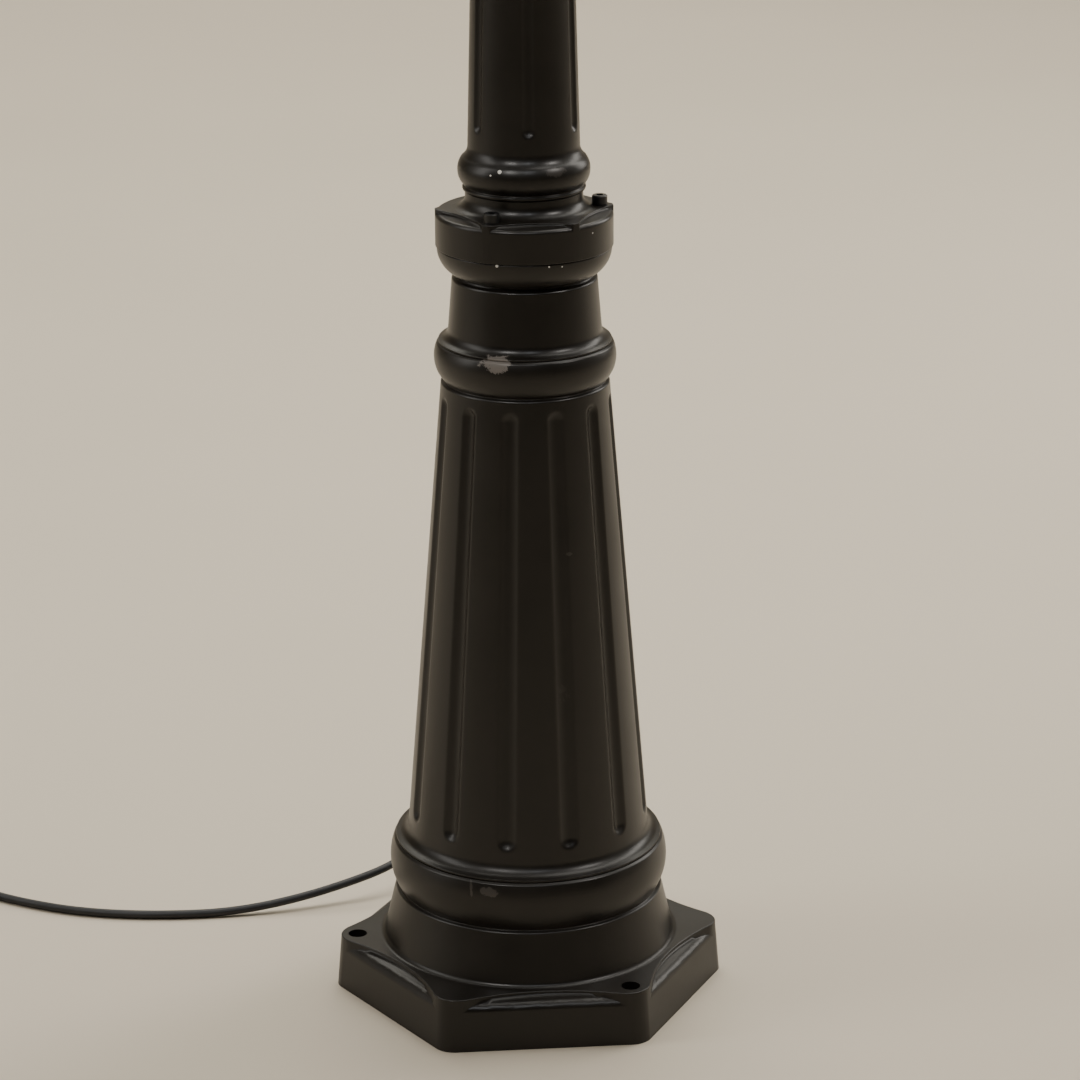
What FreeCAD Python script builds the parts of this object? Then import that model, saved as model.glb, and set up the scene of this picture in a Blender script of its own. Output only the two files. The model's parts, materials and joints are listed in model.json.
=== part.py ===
# Street clock: cast aluminium pedestal and fluted post, double-sided clock head,
# and the mains lead that leaves the pedestal at the back.
# Frame: millimetres, +Z up, origin on the ground under the post's axis.
# The front of the clock, and one flat side of the hexagonal foot, face -Y.
import FreeCAD, Part
import math
import os
import re
import Sketcher

Vector = FreeCAD.Vector
Rotation = FreeCAD.Rotation
Placement = FreeCAD.Placement
X_AXIS = Vector(1, 0, 0)
Z_AXIS = Vector(0, 0, 1)

doc = FreeCAD.newDocument("StreetClock")
sheet = doc.addObject("Spreadsheet::Sheet", "Sizes")

# name, size in mm (degrees for angles), what it is
SIZES = [
    ("foot_corner", 170.0, "hexagonal foot, axis to a sharp corner, at the ground"),
    ("foot_height", 46.0, "foot, height at the corners"),
    ("foot_draft", 4.23, "draft angle of the foot's sides"),
    ("foot_corner_round", 19.0, "rounding of the foot's upright corners"),
    ("foot_skin", 9.0, "thickness of the foot's top and sides"),
    ("scallop_inset", 11.6, "foot side to the middle of its scallop, at the ground"),
    ("scallop_radius", 199.0, "scallop's radius in plan"),
    ("scallop_drop", 4.7, "step from the corner lobes down to the scallop's ledge"),
    ("ledge_round", 8.0, "rounded edge of the scallop's ledge"),
    ("anchor_inset", 21.0, "sharp corner to the anchor hole's centre"),
    ("anchor_hole", 8.0, "anchor hole radius"),
    ("drum_radius", 125.0, "drum above the foot, at the foot's top"),
    ("drum_top_radius", 114.4, "drum at its upper edge"),
    ("drum_top", 90.0, "height of the drum's upper edge"),
    ("drum_foot_round", 8.0, "fillet between drum and foot"),
    ("edge_round", 1.8, "rounding of the castings' turned shoulders"),
    ("lower_groove_radius", 111.2, "groove under the lower ring"),
    ("lower_groove_top", 94.0, "height where the lower ring starts"),
    ("lower_ring_radius", 119.0, "lower ring at its widest"),
    ("lower_ring_height", 118.0, "height of the lower ring's widest line"),
    ("lower_ring_curve", 44.0, "radius of the lower ring's bulge"),
    ("lower_ring_top", 137.0, "height of the lower ring's upper edge"),
    ("lower_cove", 9.5, "radius of the cove over the lower ring"),
    ("cone_radius", 102.9, "fluted cone at its lower end"),
    ("cone_top_radius", 70.2, "fluted cone at its upper end"),
    ("cone_top", 541.0, "height of the cone's upper end"),
    ("flute_start", 160.0, "height of the flutes' lower tips"),
    ("flute_end", 532.0, "height of the flutes' upper tips"),
    ("flute_half_width", 8.0, "half width of a flute at its lower end"),
    ("flute_top_half_width", 6.9, "half width of a flute at its upper end"),
    ("flute_depth", 3.2, "depth of a flute"),
    ("upper_groove_radius", 67.2, "groove under the upper ring"),
    ("upper_groove_top", 545.0, "height where the upper ring starts"),
    ("upper_ring_radius", 75.6, "upper ring at its widest"),
    ("upper_ring_height", 562.8, "height of the upper ring's widest line"),
    ("upper_ring_curve", 27.0, "radius of the upper ring's bulge"),
    ("upper_ring_top", 576.6, "height of the upper ring's upper edge"),
    ("upper_cove", 8.5, "radius of the cove over the upper ring"),
    ("neck_radius", 63.8, "neck at its lower end"),
    ("neck_top_radius", 60.0, "neck at its upper end"),
    ("neck_top", 631.0, "height of the neck's upper end"),
    ("bowl_groove_radius", 55.0, "groove under the bowl"),
    ("bowl_start", 633.6, "height where the bowl starts"),
    ("bowl_radius", 72.3, "bowl at the joint"),
    ("bowl_curve", 25.0, "radius of the bowl's underside"),
    ("joint_height", 657.0, "height of the joint between the two castings"),
    ("casting_wall", 7.0, "wall of the pedestal casting"),
    ("joint_deck", 16.0, "thickness of the pedestal's top deck"),
    ("spigot_radius", 44.0, "spigot that centres the post in the pedestal"),
    ("spigot_length", 7.0, "length of that spigot"),
    ("fit_gap", 0.1, "radial clearance of fits that are put together once"),
    ("flange_radius", 73.2, "post flange"),
    ("flange_height", 31.5, "post flange, joint to top"),
    ("flange_waist", 59.5, "axis to the middle of a flange scallop"),
    ("flange_scallop", 108.0, "radius of a flange scallop in plan"),
    ("flange_step", 3.0, "step from the flange's top down to its ledge"),
    ("flange_ledge_round", 3.5, "rounded edge of the flange's ledge"),
    ("flange_cove", 10.0, "fillet between flange and post"),
    ("flange_screw_circle", 62.0, "axis to a flange screw"),
    ("post_radius", 48.2, "post just above its flange"),
    ("bead_start", 706.0, "height where the flare under the bead starts"),
    ("bead_crease", 709.6, "height of the crease under the bead"),
    ("bead_crease_radius", 49.4, "radius at that crease"),
    ("bead_radius", 54.3, "bead at its widest"),
    ("bead_height", 720.0, "height of the bead's widest line"),
    ("bead_curve", 16.0, "radius of the bead's bulge"),
    ("bead_end", 731.0, "height where the bead runs into the cove"),
    ("shaft_start", 741.0, "height where the fluted shaft starts"),
    ("shaft_radius", 46.0, "fluted shaft at its lower end"),
    ("shaft_top_radius", 28.2, "fluted shaft at its upper end"),
    ("shaft_top", 1420.0, "height of the shaft's upper end"),
    ("shaft_flute_start", 755.0, "height of the shaft flutes' lower tips"),
    ("shaft_flute_end", 1390.0, "height of the shaft flutes' upper tips"),
    ("shaft_flute_half_width", 5.3, "half width of a shaft flute, lower end"),
    ("shaft_flute_top_half", 3.9, "half width of a shaft flute, upper end"),
    ("shaft_flute_depth", 2.2, "depth of a shaft flute"),
    ("shaft_wall", 6.0, "wall of the post casting"),
    ("collar_radius", 35.0, "collar on top of the shaft"),
    ("collar_height", 24.0, "height of that collar"),
    ("tenon_radius", 23.0, "tenon that carries the clock head"),
    ("tenon_height", 58.0, "height of the tenon"),
    ("tenon_wall", 5.0, "wall of the tenon"),
    ("socket_waist", 29.5, "clock head's socket at its waist"),
    ("socket_flare", 50.0, "socket's top plate radius under the case"),
    ("socket_neck", 40.0, "height from tenon top to the case's lowest point"),
    ("case_radius", 215.0, "clock case, outside"),
    ("case_wall", 4.0, "wall of the clock case"),
    ("case_half_depth", 55.0, "middle of the case to its rim"),
    ("dial_seat", 39.0, "middle of the case to the dial's back"),
    ("seat_thickness", 3.0, "flange that the dial lies on"),
    ("seat_bore", 190.0, "inner radius of that flange"),
    ("dial_radius", 206.0, "dial"),
    ("dial_thickness", 3.0, "dial"),
    ("bezel_radius", 221.0, "bezel, outside"),
    ("bezel_bore", 194.0, "bezel's opening"),
    ("bezel_depth", 14.0, "bezel, back to front"),
    ("bezel_gap", 2.0, "rim of the case to the bezel's back"),
    ("lens_radius", 204.0, "lens"),
    ("lens_thickness", 4.0, "lens"),
    ("lens_inset", 3.0, "bezel's back to the lens"),
    ("seal_thickness", 1.5, "rubber seals"),
    ("hinge_reach", 7.0, "bezel's rim to the hinge pin"),
    ("knuckle_radius", 6.0, "hinge knuckles"),
    ("knuckle_half", 15.0, "half length of the bezel's knuckle"),
    ("knuckle_outer", 20.0, "length of each case knuckle"),
    ("pin_radius", 2.5, "hinge pin"),
    ("run_gap", 0.06, "radial clearance of things that turn"),
    ("side_gap", 0.5, "end clearance of things that turn"),
    ("hour_length", 108.0, "hour hand, axis to tip"),
    ("minute_length", 166.0, "minute hand, axis to tip"),
    ("hand_thickness", 1.6, "hands"),
    ("wheel_spacing", 19.2, "centre distance of the motion work"),
    ("pinion_teeth", 12.0, "cannon pinion, on the minute arbor"),
    ("idler_teeth", 36.0, "minute wheel, driven by the cannon pinion"),
    ("idler_pinion_teeth", 10.0, "pinion of the minute wheel"),
    ("hour_teeth", 40.0, "hour wheel"),
    ("gear_width", 3.0, "width of the toothed wheels"),
    ("arbor_radius", 1.9, "minute arbor"),
    ("pipe_radius", 2.9, "hour pipe"),
    ("bush_radius", 4.0, "threaded centre bush"),
    ("motor_radius", 25.0, "gear motor can"),
    ("motor_depth", 12.5, "gear motor can"),
    ("strap_thickness", 3.0, "strap that carries both movements"),
    ("strap_half_width", 30.0, "half width of that strap"),
    ("finial_height", 140.0, "finial, case top to tip"),
    ("saddle_screw_x", 24.0, "clock axis to a case screw, sideways"),
    ("saddle_screw_y", 15.0, "clock axis to a case screw, front to back"),
    ("gland_height", 68.0, "height of the lead's outlet over the ground"),
    ("gland_seat", 115.2, "axis to the flat that the lead's gland sits on"),
    ("gland_thread", 8.0, "gland thread radius"),
    ("gland_hex", 11.0, "half width across flats of the gland's hexagon"),
    ("guard_length", 30.0, "tapered bend guard on the lead"),
    ("cord_radius", 3.75, "mains lead"),
    ("cord_rest", 4.0, "height of the lead's axis where it lies on the ground"),
    ("coil_outer_turn", 50.0, "stored coil, radius of its outer turn"),
    ("coil_inner_turn", 34.0, "stored coil, radius of its inner turn"),
]

ALIASES = set()
for row, (alias, amount, meaning) in enumerate(SIZES, start=1):
    sheet.set(f"A{row}", alias)
    sheet.set(f"B{row}", str(amount))
    sheet.set(f"C{row}", meaning)
    sheet.setAlias(f"B{row}", alias)
    ALIASES.add(alias)
doc.recompute()


def link(text):
    """An expression that names sizes, written so that FreeCAD finds them in the sheet."""
    return re.sub(r"[a-z_]+", lambda w: f"Sizes.{w[0]}" if w[0] in ALIASES else w[0], text)


def number(text):
    """The value that such an expression has now."""
    found = sheet.evalExpression(link(text))
    return float(getattr(found, "Value", found))


def bind(thing, **sizes):
    """Tie properties of a feature to the sheet."""
    for prop, text in sizes.items():
        thing.setExpression(prop.replace("__", "."), link(text))


# ---------------------------------------------------------------- sketches and features

def new_body(label):
    body = doc.addObject("PartDesign::Body", label)
    body.Label = label
    return body


def origin_of(body, role):
    return [item for item in body.Origin.OriginFeatures if item.Role == role][0]


def new_sketch(body, plane, turn=None, lift=None):
    """A sketch on one of the body's origin planes, turned about its own Y or lifted off it."""
    sketch = body.newObject("Sketcher::SketchObject", body.Name + "_sketch")
    sketch.AttachmentSupport = [(origin_of(body, plane), "")]
    sketch.MapMode = "FlatFace"
    if turn:
        sketch.AttachmentOffset = Placement(Vector(), Rotation(Vector(0, 1, 0), turn))
    if lift:
        sketch.setExpression("AttachmentOffset.Base.z", link(lift))
    return sketch


def arc_between(start, end, radius):
    """The short arc from start to end; a positive radius has its centre on the left."""
    chord = end - start
    half = chord.Length / 2
    size = abs(radius)
    reach = math.sqrt(max(size * size - half * half, 0.0))
    left = Vector(-chord.y, chord.x, 0).normalize()
    side = 1 if radius > 0 else -1
    centre = (start + end) / 2 + left * reach * side
    first = math.atan2(start.y - centre.y, start.x - centre.x)
    last = math.atan2(end.y - centre.y, end.x - centre.x)
    if side < 0:
        first, last = last, first
    if last < first:
        last += 2 * math.pi
    return Part.ArcOfCircle(Part.Circle(centre, Z_AXIS, size), first, last)


def outline(sketch, corners):
    """A closed outline. Each corner is (x, y) or (x, y, radius of the arc that leads to it)."""
    count = len(corners)
    base = sketch.GeometryCount
    spots = [Vector(number(c[0]), number(c[1]), 0) for c in corners]
    for i in range(count):
        target = corners[(i + 1) % count]
        start, end = spots[i], spots[(i + 1) % count]
        if len(target) == 3:
            sketch.addGeometry(arc_between(start, end, number(target[2])), False)
        else:
            sketch.addGeometry(Part.LineSegment(start, end), False)
    ends = []
    for i in range(count):
        target = corners[(i + 1) % count]
        backwards = len(target) == 3 and number(target[2]) < 0
        ends.append((2, 1) if backwards else (1, 2))
    for i in range(count):
        after = (i + 1) % count
        sketch.addConstraint(
            Sketcher.Constraint("Coincident", base + i, ends[i][1], base + after, ends[after][0])
        )
    for i, corner in enumerate(corners):
        for kind, text, spot in (("DistanceX", corner[0], spots[i].x), ("DistanceY", corner[1], spots[i].y)):
            index = sketch.addConstraint(
                Sketcher.Constraint(kind, -1, 1, base + i, ends[i][0], spot)
            )
            sketch.setExpression(f"Constraints[{index}]", link(text))
        if len(corner) == 3:
            edge = base + (i - 1) % count
            index = sketch.addConstraint(Sketcher.Constraint("Radius", edge, abs(number(corner[2]))))
            sketch.setExpression(f"Constraints[{index}]", link(f"abs({corner[2]})"))
    return sketch


def circle(sketch, x, y, radius):
    """A full circle of a sketch."""
    spot = Vector(number(x), number(y), 0)
    index = sketch.addGeometry(Part.Circle(spot, Z_AXIS, number(radius)), False)
    ties = (
        (Sketcher.Constraint("DistanceX", -1, 1, index, 3, spot.x), x),
        (Sketcher.Constraint("DistanceY", -1, 1, index, 3, spot.y), y),
        (Sketcher.Constraint("Radius", index, number(radius)), radius),
    )
    for constraint, text in ties:
        place = sketch.addConstraint(constraint)
        sketch.setExpression(f"Constraints[{place}]", link(text))
    return sketch


def feature(body, kind, sketch):
    made = body.newObject("PartDesign::" + kind, f"{body.Name}_{kind}")
    made.Profile = sketch
    return made


def spin(body, corners, kind="Revolution", plane="XZ_Plane", turn=None):
    """Revolve an outline of (radius, height) corners about the body's Z axis."""
    sketch = outline(new_sketch(body, plane, turn=turn), corners)
    made = feature(body, kind, sketch)
    made.ReferenceAxis = (sketch, ["V_Axis"])
    made.Angle = 360
    return made


def pad(body, sketch, length):
    made = feature(body, "Pad", sketch)
    bind(made, Length=length)
    return made


def pocket(body, sketch, length, both=False):
    made = feature(body, "Pocket", sketch)
    made.Midplane = both
    bind(made, Length=length)
    return made


def around(body, item, count, axis="Z_Axis"):
    """Repeat a feature around one of the body's axes."""
    made = body.newObject("PartDesign::PolarPattern", body.Name + "_around")
    made.Originals = [item]
    made.Axis = (origin_of(body, axis), [""])
    made.Angle = 360
    made.Occurrences = count
    body.Tip = made
    return made


def round_edges(body, kind, size, chosen):
    """Fillet or Chamfer on the tip's edges that pass the test."""
    doc.recompute()
    tip = body.Tip
    names = [f"Edge{i + 1}" for i, edge in enumerate(tip.Shape.Edges) if chosen(edge)]
    made = body.newObject("PartDesign::" + kind, f"{body.Name}_{kind}")
    made.Base = (tip, names)
    bind(made, **{"Radius" if kind == "Fillet" else "Size": size})
    body.Tip = made
    return made


def upright(edge):
    """True for an edge that climbs the foot's height at a corner."""
    box = edge.BoundBox
    return box.ZLength > 0.8 * number("foot_height - scallop_drop") and box.XLength + box.YLength < box.ZLength


def fused(label, *things):
    made = doc.addObject("Part::MultiFuse", label)
    made.Label = label
    made.Shapes = list(things)
    return made


def less(label, base, *tools):
    """Part::Cut of one thing by one or more others."""
    tool = tools[0] if len(tools) == 1 else fused(label + "_tools", *tools)
    made = doc.addObject("Part::Cut", label)
    made.Label = label
    made.Base = base
    made.Tool = tool
    return made


def rod(name, radius, length, at=None):
    """A cylinder along Z, with its size and place tied to the sheet."""
    made = doc.addObject("Part::Cylinder", name)
    bind(made, Radius=radius, Height=length)
    if at:
        bind(made, Placement__Base__x=at[0], Placement__Base__y=at[1], Placement__Base__z=at[2])
    return made


def block(name, size, low):
    """A box from its size and its low corner."""
    made = doc.addObject("Part::Box", name)
    bind(made, Length=size[0], Width=size[1], Height=size[2])
    bind(made, Placement__Base__x=low[0], Placement__Base__y=low[1], Placement__Base__z=low[2])
    return made


def group(label, things):
    """Identical separate solids that share one node."""
    made = doc.addObject("Part::Compound", label)
    made.Label = label
    made.Links = things
    return made


def cap_screw(name, shank, length, head, head_height, hexagon):
    """A socket head cap screw along -Z with its head's underside at its origin."""
    body = new_body(name)
    spin(body, [("0", f"-{length}"), (shank, f"-{length}"), (shank, "0"), (head, "0"),
                (head, f"{head_height}-0.8"), (f"{head}-0.8", head_height), ("0", head_height)])
    hole = new_sketch(body, "XY_Plane", lift=head_height)
    outline(hole, [(f"{hexagon}*cos({60 * i})", f"{hexagon}*sin({60 * i})") for i in range(6)])
    pocket(body, hole, f"{head_height}*0.55")
    return body


def copies(label, source, places):
    """Copies of one fastener at several placements."""
    doc.recompute()
    made = []
    for i, place in enumerate(places):
        one = doc.addObject("Part::Feature", f"{label}_{i + 1}")
        one.Shape = source.Shape.copy()
        one.Placement = place
        made.append(one)
    return group(label, made)


NODES = []


def node(thing, place=None):
    """Keep a finished sub-part for export, set where it belongs."""
    if place is not None:
        thing.Placement = place
    NODES.append(thing)
    return thing


def polar(radius, degrees):
    """X and Y expressions of a point on a circle."""
    return f"({radius})*cos({degrees})", f"({radius})*sin({degrees})"


# ---------------------------------------------------------------- pedestal casting

def hexagon_corners(reach):
    return [polar(reach, 60 * i) for i in range(6)]


def scalloped_hexagon():
    """The foot's plan: a hexagon with a shallow arc taken out of each side."""
    flat = "foot_corner*cos(30)"
    centre = f"({flat}-scallop_inset+scallop_radius)"
    half = f"sqrt(scallop_radius^2-({centre}-{flat})^2)"
    corners = []
    for i in range(6):
        corners.append(polar("foot_corner", 60 * i))
        side = 60 * i + 30
        cosine, sine = f"cos({side})", f"sin({side})"
        near = (f"{flat}*{cosine}+{half}*{sine}", f"{flat}*{sine}-{half}*{cosine}")
        far = (f"{flat}*{cosine}-{half}*{sine}", f"{flat}*{sine}+{half}*{cosine}")
        corners.append(near)
        corners.append((far[0], far[1], "-scallop_radius"))
    return corners


def drafted(label, corners, height):
    """A drafted prism of the foot with rounded upright corners."""
    body = new_body(label)
    prism = pad(body, outline(new_sketch(body, "XY_Plane"), corners), height)
    bind(prism, TaperAngle="-foot_draft")
    reach = number("foot_corner") * 0.94
    round_edges(body, "Fillet", "foot_corner_round",
                lambda e: upright(e) and e.CenterOfMass.x ** 2 + e.CenterOfMass.y ** 2 > reach ** 2)
    return body


def top_edges(height):
    return lambda edge: edge.BoundBox.ZLength < 0.01 and abs(edge.BoundBox.ZMax - number(height)) < 0.01


lobes = drafted("foot_lobes", scalloped_hexagon(), "foot_height")
round_edges(lobes, "Fillet", "0.9", top_edges("foot_height"))
plinth = drafted("foot_plinth", hexagon_corners("foot_corner"), "foot_height-scallop_drop")
round_edges(plinth, "Fillet", "ledge_round", top_edges("foot_height-scallop_drop"))

LOWER_CENTRE = "(lower_ring_radius-lower_ring_curve)"
LOWER_LOW = f"{LOWER_CENTRE}+sqrt(lower_ring_curve^2-(lower_ring_height-lower_groove_top)^2)"
LOWER_HIGH = f"{LOWER_CENTRE}+sqrt(lower_ring_curve^2-(lower_ring_top-lower_ring_height)^2)"
UPPER_CENTRE = "(upper_ring_radius-upper_ring_curve)"
UPPER_LOW = f"{UPPER_CENTRE}+sqrt(upper_ring_curve^2-(upper_ring_height-upper_groove_top)^2)"
UPPER_HIGH = f"{UPPER_CENTRE}+sqrt(upper_ring_curve^2-(upper_ring_top-upper_ring_height)^2)"
BOWL_LOW = "bowl_radius-bowl_curve+sqrt(bowl_curve^2-(joint_height-bowl_start)^2)"

barrel = new_body("pedestal_barrel")
spin(barrel, [
    ("0", "foot_height-foot_skin"),
    ("drum_radius", "foot_height-foot_skin"),
    ("drum_radius+drum_foot_round*0.5", "foot_height"),
    ("drum_radius-drum_foot_round*0.16", "foot_height+drum_foot_round", "-drum_foot_round*1.1"),
    ("drum_top_radius", "drum_top"),
    ("drum_top_radius-edge_round", "drum_top+edge_round", "edge_round"),
    ("lower_groove_radius-1", "lower_groove_top-2"),
    (LOWER_LOW, "lower_groove_top"),
    ("lower_ring_radius", "lower_ring_height", "lower_ring_curve"),
    (LOWER_HIGH, "lower_ring_top", "lower_ring_curve"),
    ("cone_radius+lower_cove", "lower_ring_top+0.8"),
    ("cone_radius", "lower_ring_top+0.8+lower_cove", "-lower_cove"),
    ("cone_top_radius", "cone_top"),
    ("cone_top_radius-edge_round", "cone_top+edge_round", "edge_round"),
    ("upper_groove_radius-1", "upper_groove_top-2"),
    (UPPER_LOW, "upper_groove_top"),
    ("upper_ring_radius", "upper_ring_height", "upper_ring_curve"),
    (UPPER_HIGH, "upper_ring_top", "upper_ring_curve"),
    ("neck_radius+upper_cove", "upper_ring_top+0.8"),
    ("neck_radius", "upper_ring_top+0.8+upper_cove", "-upper_cove"),
    ("neck_top_radius", "neck_top-edge_round*0.5"),
    ("neck_top_radius-edge_round*0.5", "neck_top", "edge_round*0.5"),
    ("bowl_groove_radius", "neck_top+0.8"),
    ("bowl_groove_radius", "bowl_start"),
    (BOWL_LOW, "bowl_start"),
    ("bowl_radius", "joint_height", "bowl_curve"),
    ("0", "joint_height"),
])


def cut_flutes(body, phase, count, spec):
    """Cut evenly spaced flutes; spec gives ends, widths, depth and the cone they lie in."""
    low, high, foot, head, depth, cone = spec
    low_z, low_r, high_z, high_r = (number(text) for text in cone)
    lean = math.atan2(low_r - high_r, high_z - low_z)
    out = Vector(math.cos(lean), math.sin(lean), 0)
    deep = number(depth)

    def on_cone(height):
        return Vector(low_r + (high_r - low_r) * (height - low_z) / (high_z - low_z), height, 0)

    def finger(end_height, half_width, way):
        half = number(half_width)
        curve = (half * half + deep * deep) / (2 * deep)
        middle = on_cone(number(end_height) - way * half) + out * (curve - deep)
        return middle, curve

    low_middle, low_curve = finger(low, foot, -1)
    high_middle, high_curve = finger(high, head, 1)
    axis = (high_middle - low_middle).normalize()
    inward = Vector(-axis.y, axis.x, 0)
    sketch = new_sketch(body, "XZ_Plane", turn=phase)
    low_tip = low_middle - axis * low_curve
    high_tip = high_middle + axis * high_curve
    low_side = low_middle + inward * low_curve
    high_side = high_middle + inward * high_curve
    sketch.addGeometry(Part.LineSegment(low_tip, high_tip), False)
    sketch.addGeometry(arc_between(high_tip, high_side, high_curve), False)
    sketch.addGeometry(Part.LineSegment(high_side, low_side), False)
    sketch.addGeometry(arc_between(low_side, low_tip, low_curve), False)
    for i in range(4):
        sketch.addConstraint(Sketcher.Constraint("Coincident", i, 2, (i + 1) % 4, 1))
    sketch.addGeometry(Part.LineSegment(low_tip, high_tip), True)
    cut = feature(body, "Groove", sketch)
    cut.ReferenceAxis = (sketch, ["Axis0"])
    cut.Angle = 360
    return around(body, cut, count)


cut_flutes(barrel, 15, 12, (
    "flute_start", "flute_end", "flute_half_width", "flute_top_half_width", "flute_depth",
    ("lower_ring_top+0.8+lower_cove", "cone_radius", "cone_top", "cone_top_radius"),
))

# The pedestal is cast hollow: a hexagonal hollow under the foot and a stepped one in the barrel.
core = new_body("pedestal_core")
spin(core, [
    ("0", "-1"),
    ("drum_top_radius-casting_wall", "-1"),
    ("drum_top_radius-casting_wall", "drum_top"),
    ("cone_radius-casting_wall-flute_depth", "lower_ring_top+lower_cove"),
    ("cone_top_radius-casting_wall-flute_depth", "cone_top-casting_wall"),
    ("neck_top_radius-casting_wall-3", "upper_ring_top"),
    ("neck_top_radius-casting_wall-3", "joint_height-joint_deck"),
    ("spigot_radius+fit_gap", "joint_height-joint_deck"),
    ("spigot_radius+fit_gap", "joint_height+1"),
    ("0", "joint_height+1"),
])
hollow = new_body("foot_hollow")
pad(hollow, outline(new_sketch(hollow, "XY_Plane"), hexagon_corners("foot_corner-foot_skin/cos(30)")),
    "foot_height-scallop_drop-foot_skin*0.8")
round_edges(hollow, "Fillet", "foot_corner_round-foot_skin*0.6", upright)

anchor_bores = []
for i, turn in enumerate((180, 60, -60)):
    x, y = polar("foot_corner-anchor_inset", turn)
    anchor_bores.append(rod(f"anchor_bore_{i + 1}", "anchor_hole", "foot_height*2", (x, y, "-foot_height*0.5")))

SCREW_ANGLES = (-120, 0, 120)
tapped = []
for i, turn in enumerate(SCREW_ANGLES):
    x, y = polar("flange_screw_circle", turn)
    tapped.append(rod(f"tapped_hole_{i + 1}", "4+fit_gap/2", "12", (x, y, "joint_height-12")))

# The lead's outlet: a bore through the drum's back with a flat face milled round it.
outlet = rod("outlet_bore", "gland_thread+fit_gap/2", "60")
face = rod("outlet_face", "gland_hex+3", "30")
for item, start in ((outlet, "drum_radius-40"), (face, "gland_seat")):
    item.Placement = Placement(Vector(), Rotation(X_AXIS, -90))
    bind(item, Placement__Base__y=start, Placement__Base__z="gland_height")

pedestal = less("pedestal_casting", fused("pedestal_solid", lobes, plinth, barrel),
                core, hollow, outlet, face, *anchor_bores, *tapped)
node(pedestal)

# ---------------------------------------------------------------- post casting

FLANGE_TOP = "(joint_height+flange_height)"
COVE_END = f"({FLANGE_TOP}+flange_cove)"


def scalloped_disc(label, waist_out, height, start):
    """The flange's plan: a disc with six shallow arcs taken out of its rim."""
    body = new_body(label)
    pad(body, circle(new_sketch(body, "XY_Plane", lift=start), "0", "0", "flange_radius"), height)
    cut = new_sketch(body, "XY_Plane", lift=f"{start}+{height}")
    circle(cut, f"flange_waist+{waist_out}+flange_scallop", "0", "flange_scallop")
    bite = pocket(body, cut, height)
    return body, bite


crown, crown_bite = scalloped_disc("flange_crown", "0", "flange_height", "joint_height")
around(crown, crown_bite, 6)
crown.Placement = Placement(Vector(), Rotation(Z_AXIS, 30))
round_edges(crown, "Fillet", "0.8", top_edges(FLANGE_TOP))
ledge = new_body("flange_ledge")
pad(ledge, circle(new_sketch(ledge, "XY_Plane", lift="joint_height"), "0", "0", "flange_radius"),
    "flange_height-flange_step")
round_edges(ledge, "Fillet", "flange_ledge_round", top_edges(f"{FLANGE_TOP}-flange_step"))

BEAD_CENTRE = "(bead_radius-bead_curve)"
BEAD_LOW = f"{BEAD_CENTRE}+sqrt(bead_curve^2-(bead_height-bead_crease-0.8)^2)"
BEAD_HIGH = f"{BEAD_CENTRE}+sqrt(bead_curve^2-(bead_end-bead_height)^2)"
tube = new_body("post_tube")
spin(tube, [
    ("0", "joint_height-spigot_length"),
    ("spigot_radius", "joint_height-spigot_length"),
    ("spigot_radius", FLANGE_TOP),
    ("post_radius+flange_cove", FLANGE_TOP),
    ("post_radius", COVE_END, "-flange_cove"),
    ("post_radius", "bead_start"),
    ("bead_crease_radius", "bead_crease"),
    (BEAD_LOW, "bead_crease+0.8"),
    ("bead_radius", "bead_height", "bead_curve"),
    (BEAD_HIGH, "bead_end", "bead_curve"),
    ("shaft_radius", "shaft_start", "-(shaft_start-bead_end)*1.3"),
    ("shaft_top_radius", "shaft_top-6"),
    ("shaft_top_radius+3", "shaft_top", "-7"),
    ("collar_radius", "shaft_top"),
    ("collar_radius", "shaft_top+collar_height", "collar_height*0.52"),
    ("tenon_radius", "shaft_top+collar_height"),
    ("tenon_radius", "shaft_top+collar_height+tenon_height"),
    ("0", "shaft_top+collar_height+tenon_height"),
])
cut_flutes(tube, 30, 6, (
    "shaft_flute_start", "shaft_flute_end", "shaft_flute_half_width", "shaft_flute_top_half",
    "shaft_flute_depth", ("shaft_start", "shaft_radius", "shaft_top-6", "shaft_top_radius"),
))
post_core = new_body("post_core")
spin(post_core, [
    ("0", "joint_height-spigot_length-1"),
    ("spigot_radius-shaft_wall", "joint_height-spigot_length-1"),
    ("shaft_radius-shaft_wall-2", "shaft_start"),
    ("shaft_top_radius-shaft_wall-2", "shaft_top-6"),
    ("tenon_radius-tenon_wall", "shaft_top+collar_height"),
    ("tenon_radius-tenon_wall", "shaft_top+collar_height+tenon_height+1"),
    ("0", "shaft_top+collar_height+tenon_height+1"),
])
flange_bores = []
for i, turn in enumerate(SCREW_ANGLES):
    x, y = polar("flange_screw_circle", turn)
    flange_bores.append(rod(f"flange_bore_{i + 1}", "4.3", "flange_height*2", (x, y, "joint_height-flange_height*0.5")))
spot_faces = []
for i, turn in enumerate(SCREW_ANGLES):
    x, y = polar("flange_screw_circle", turn)
    spot_faces.append(rod(f"spot_face_{i + 1}", "7", "flange_cove", (x, y, FLANGE_TOP)))
node(less("post_casting", fused("post_solid", tube, crown, ledge), post_core, *flange_bores, *spot_faces))

flange_screw = cap_screw("flange_screw", "4", "flange_height+10", "6.4", "8", "3.3")
node(copies("flange_screws", flange_screw, [
    Placement(Vector(number(polar("flange_screw_circle", turn)[0]), number(polar("flange_screw_circle", turn)[1]),
                     number(FLANGE_TOP)), Rotation(Z_AXIS, 12 + turn))
    for turn in SCREW_ANGLES
]))

# ---------------------------------------------------------------- clock head: socket and case

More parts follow.
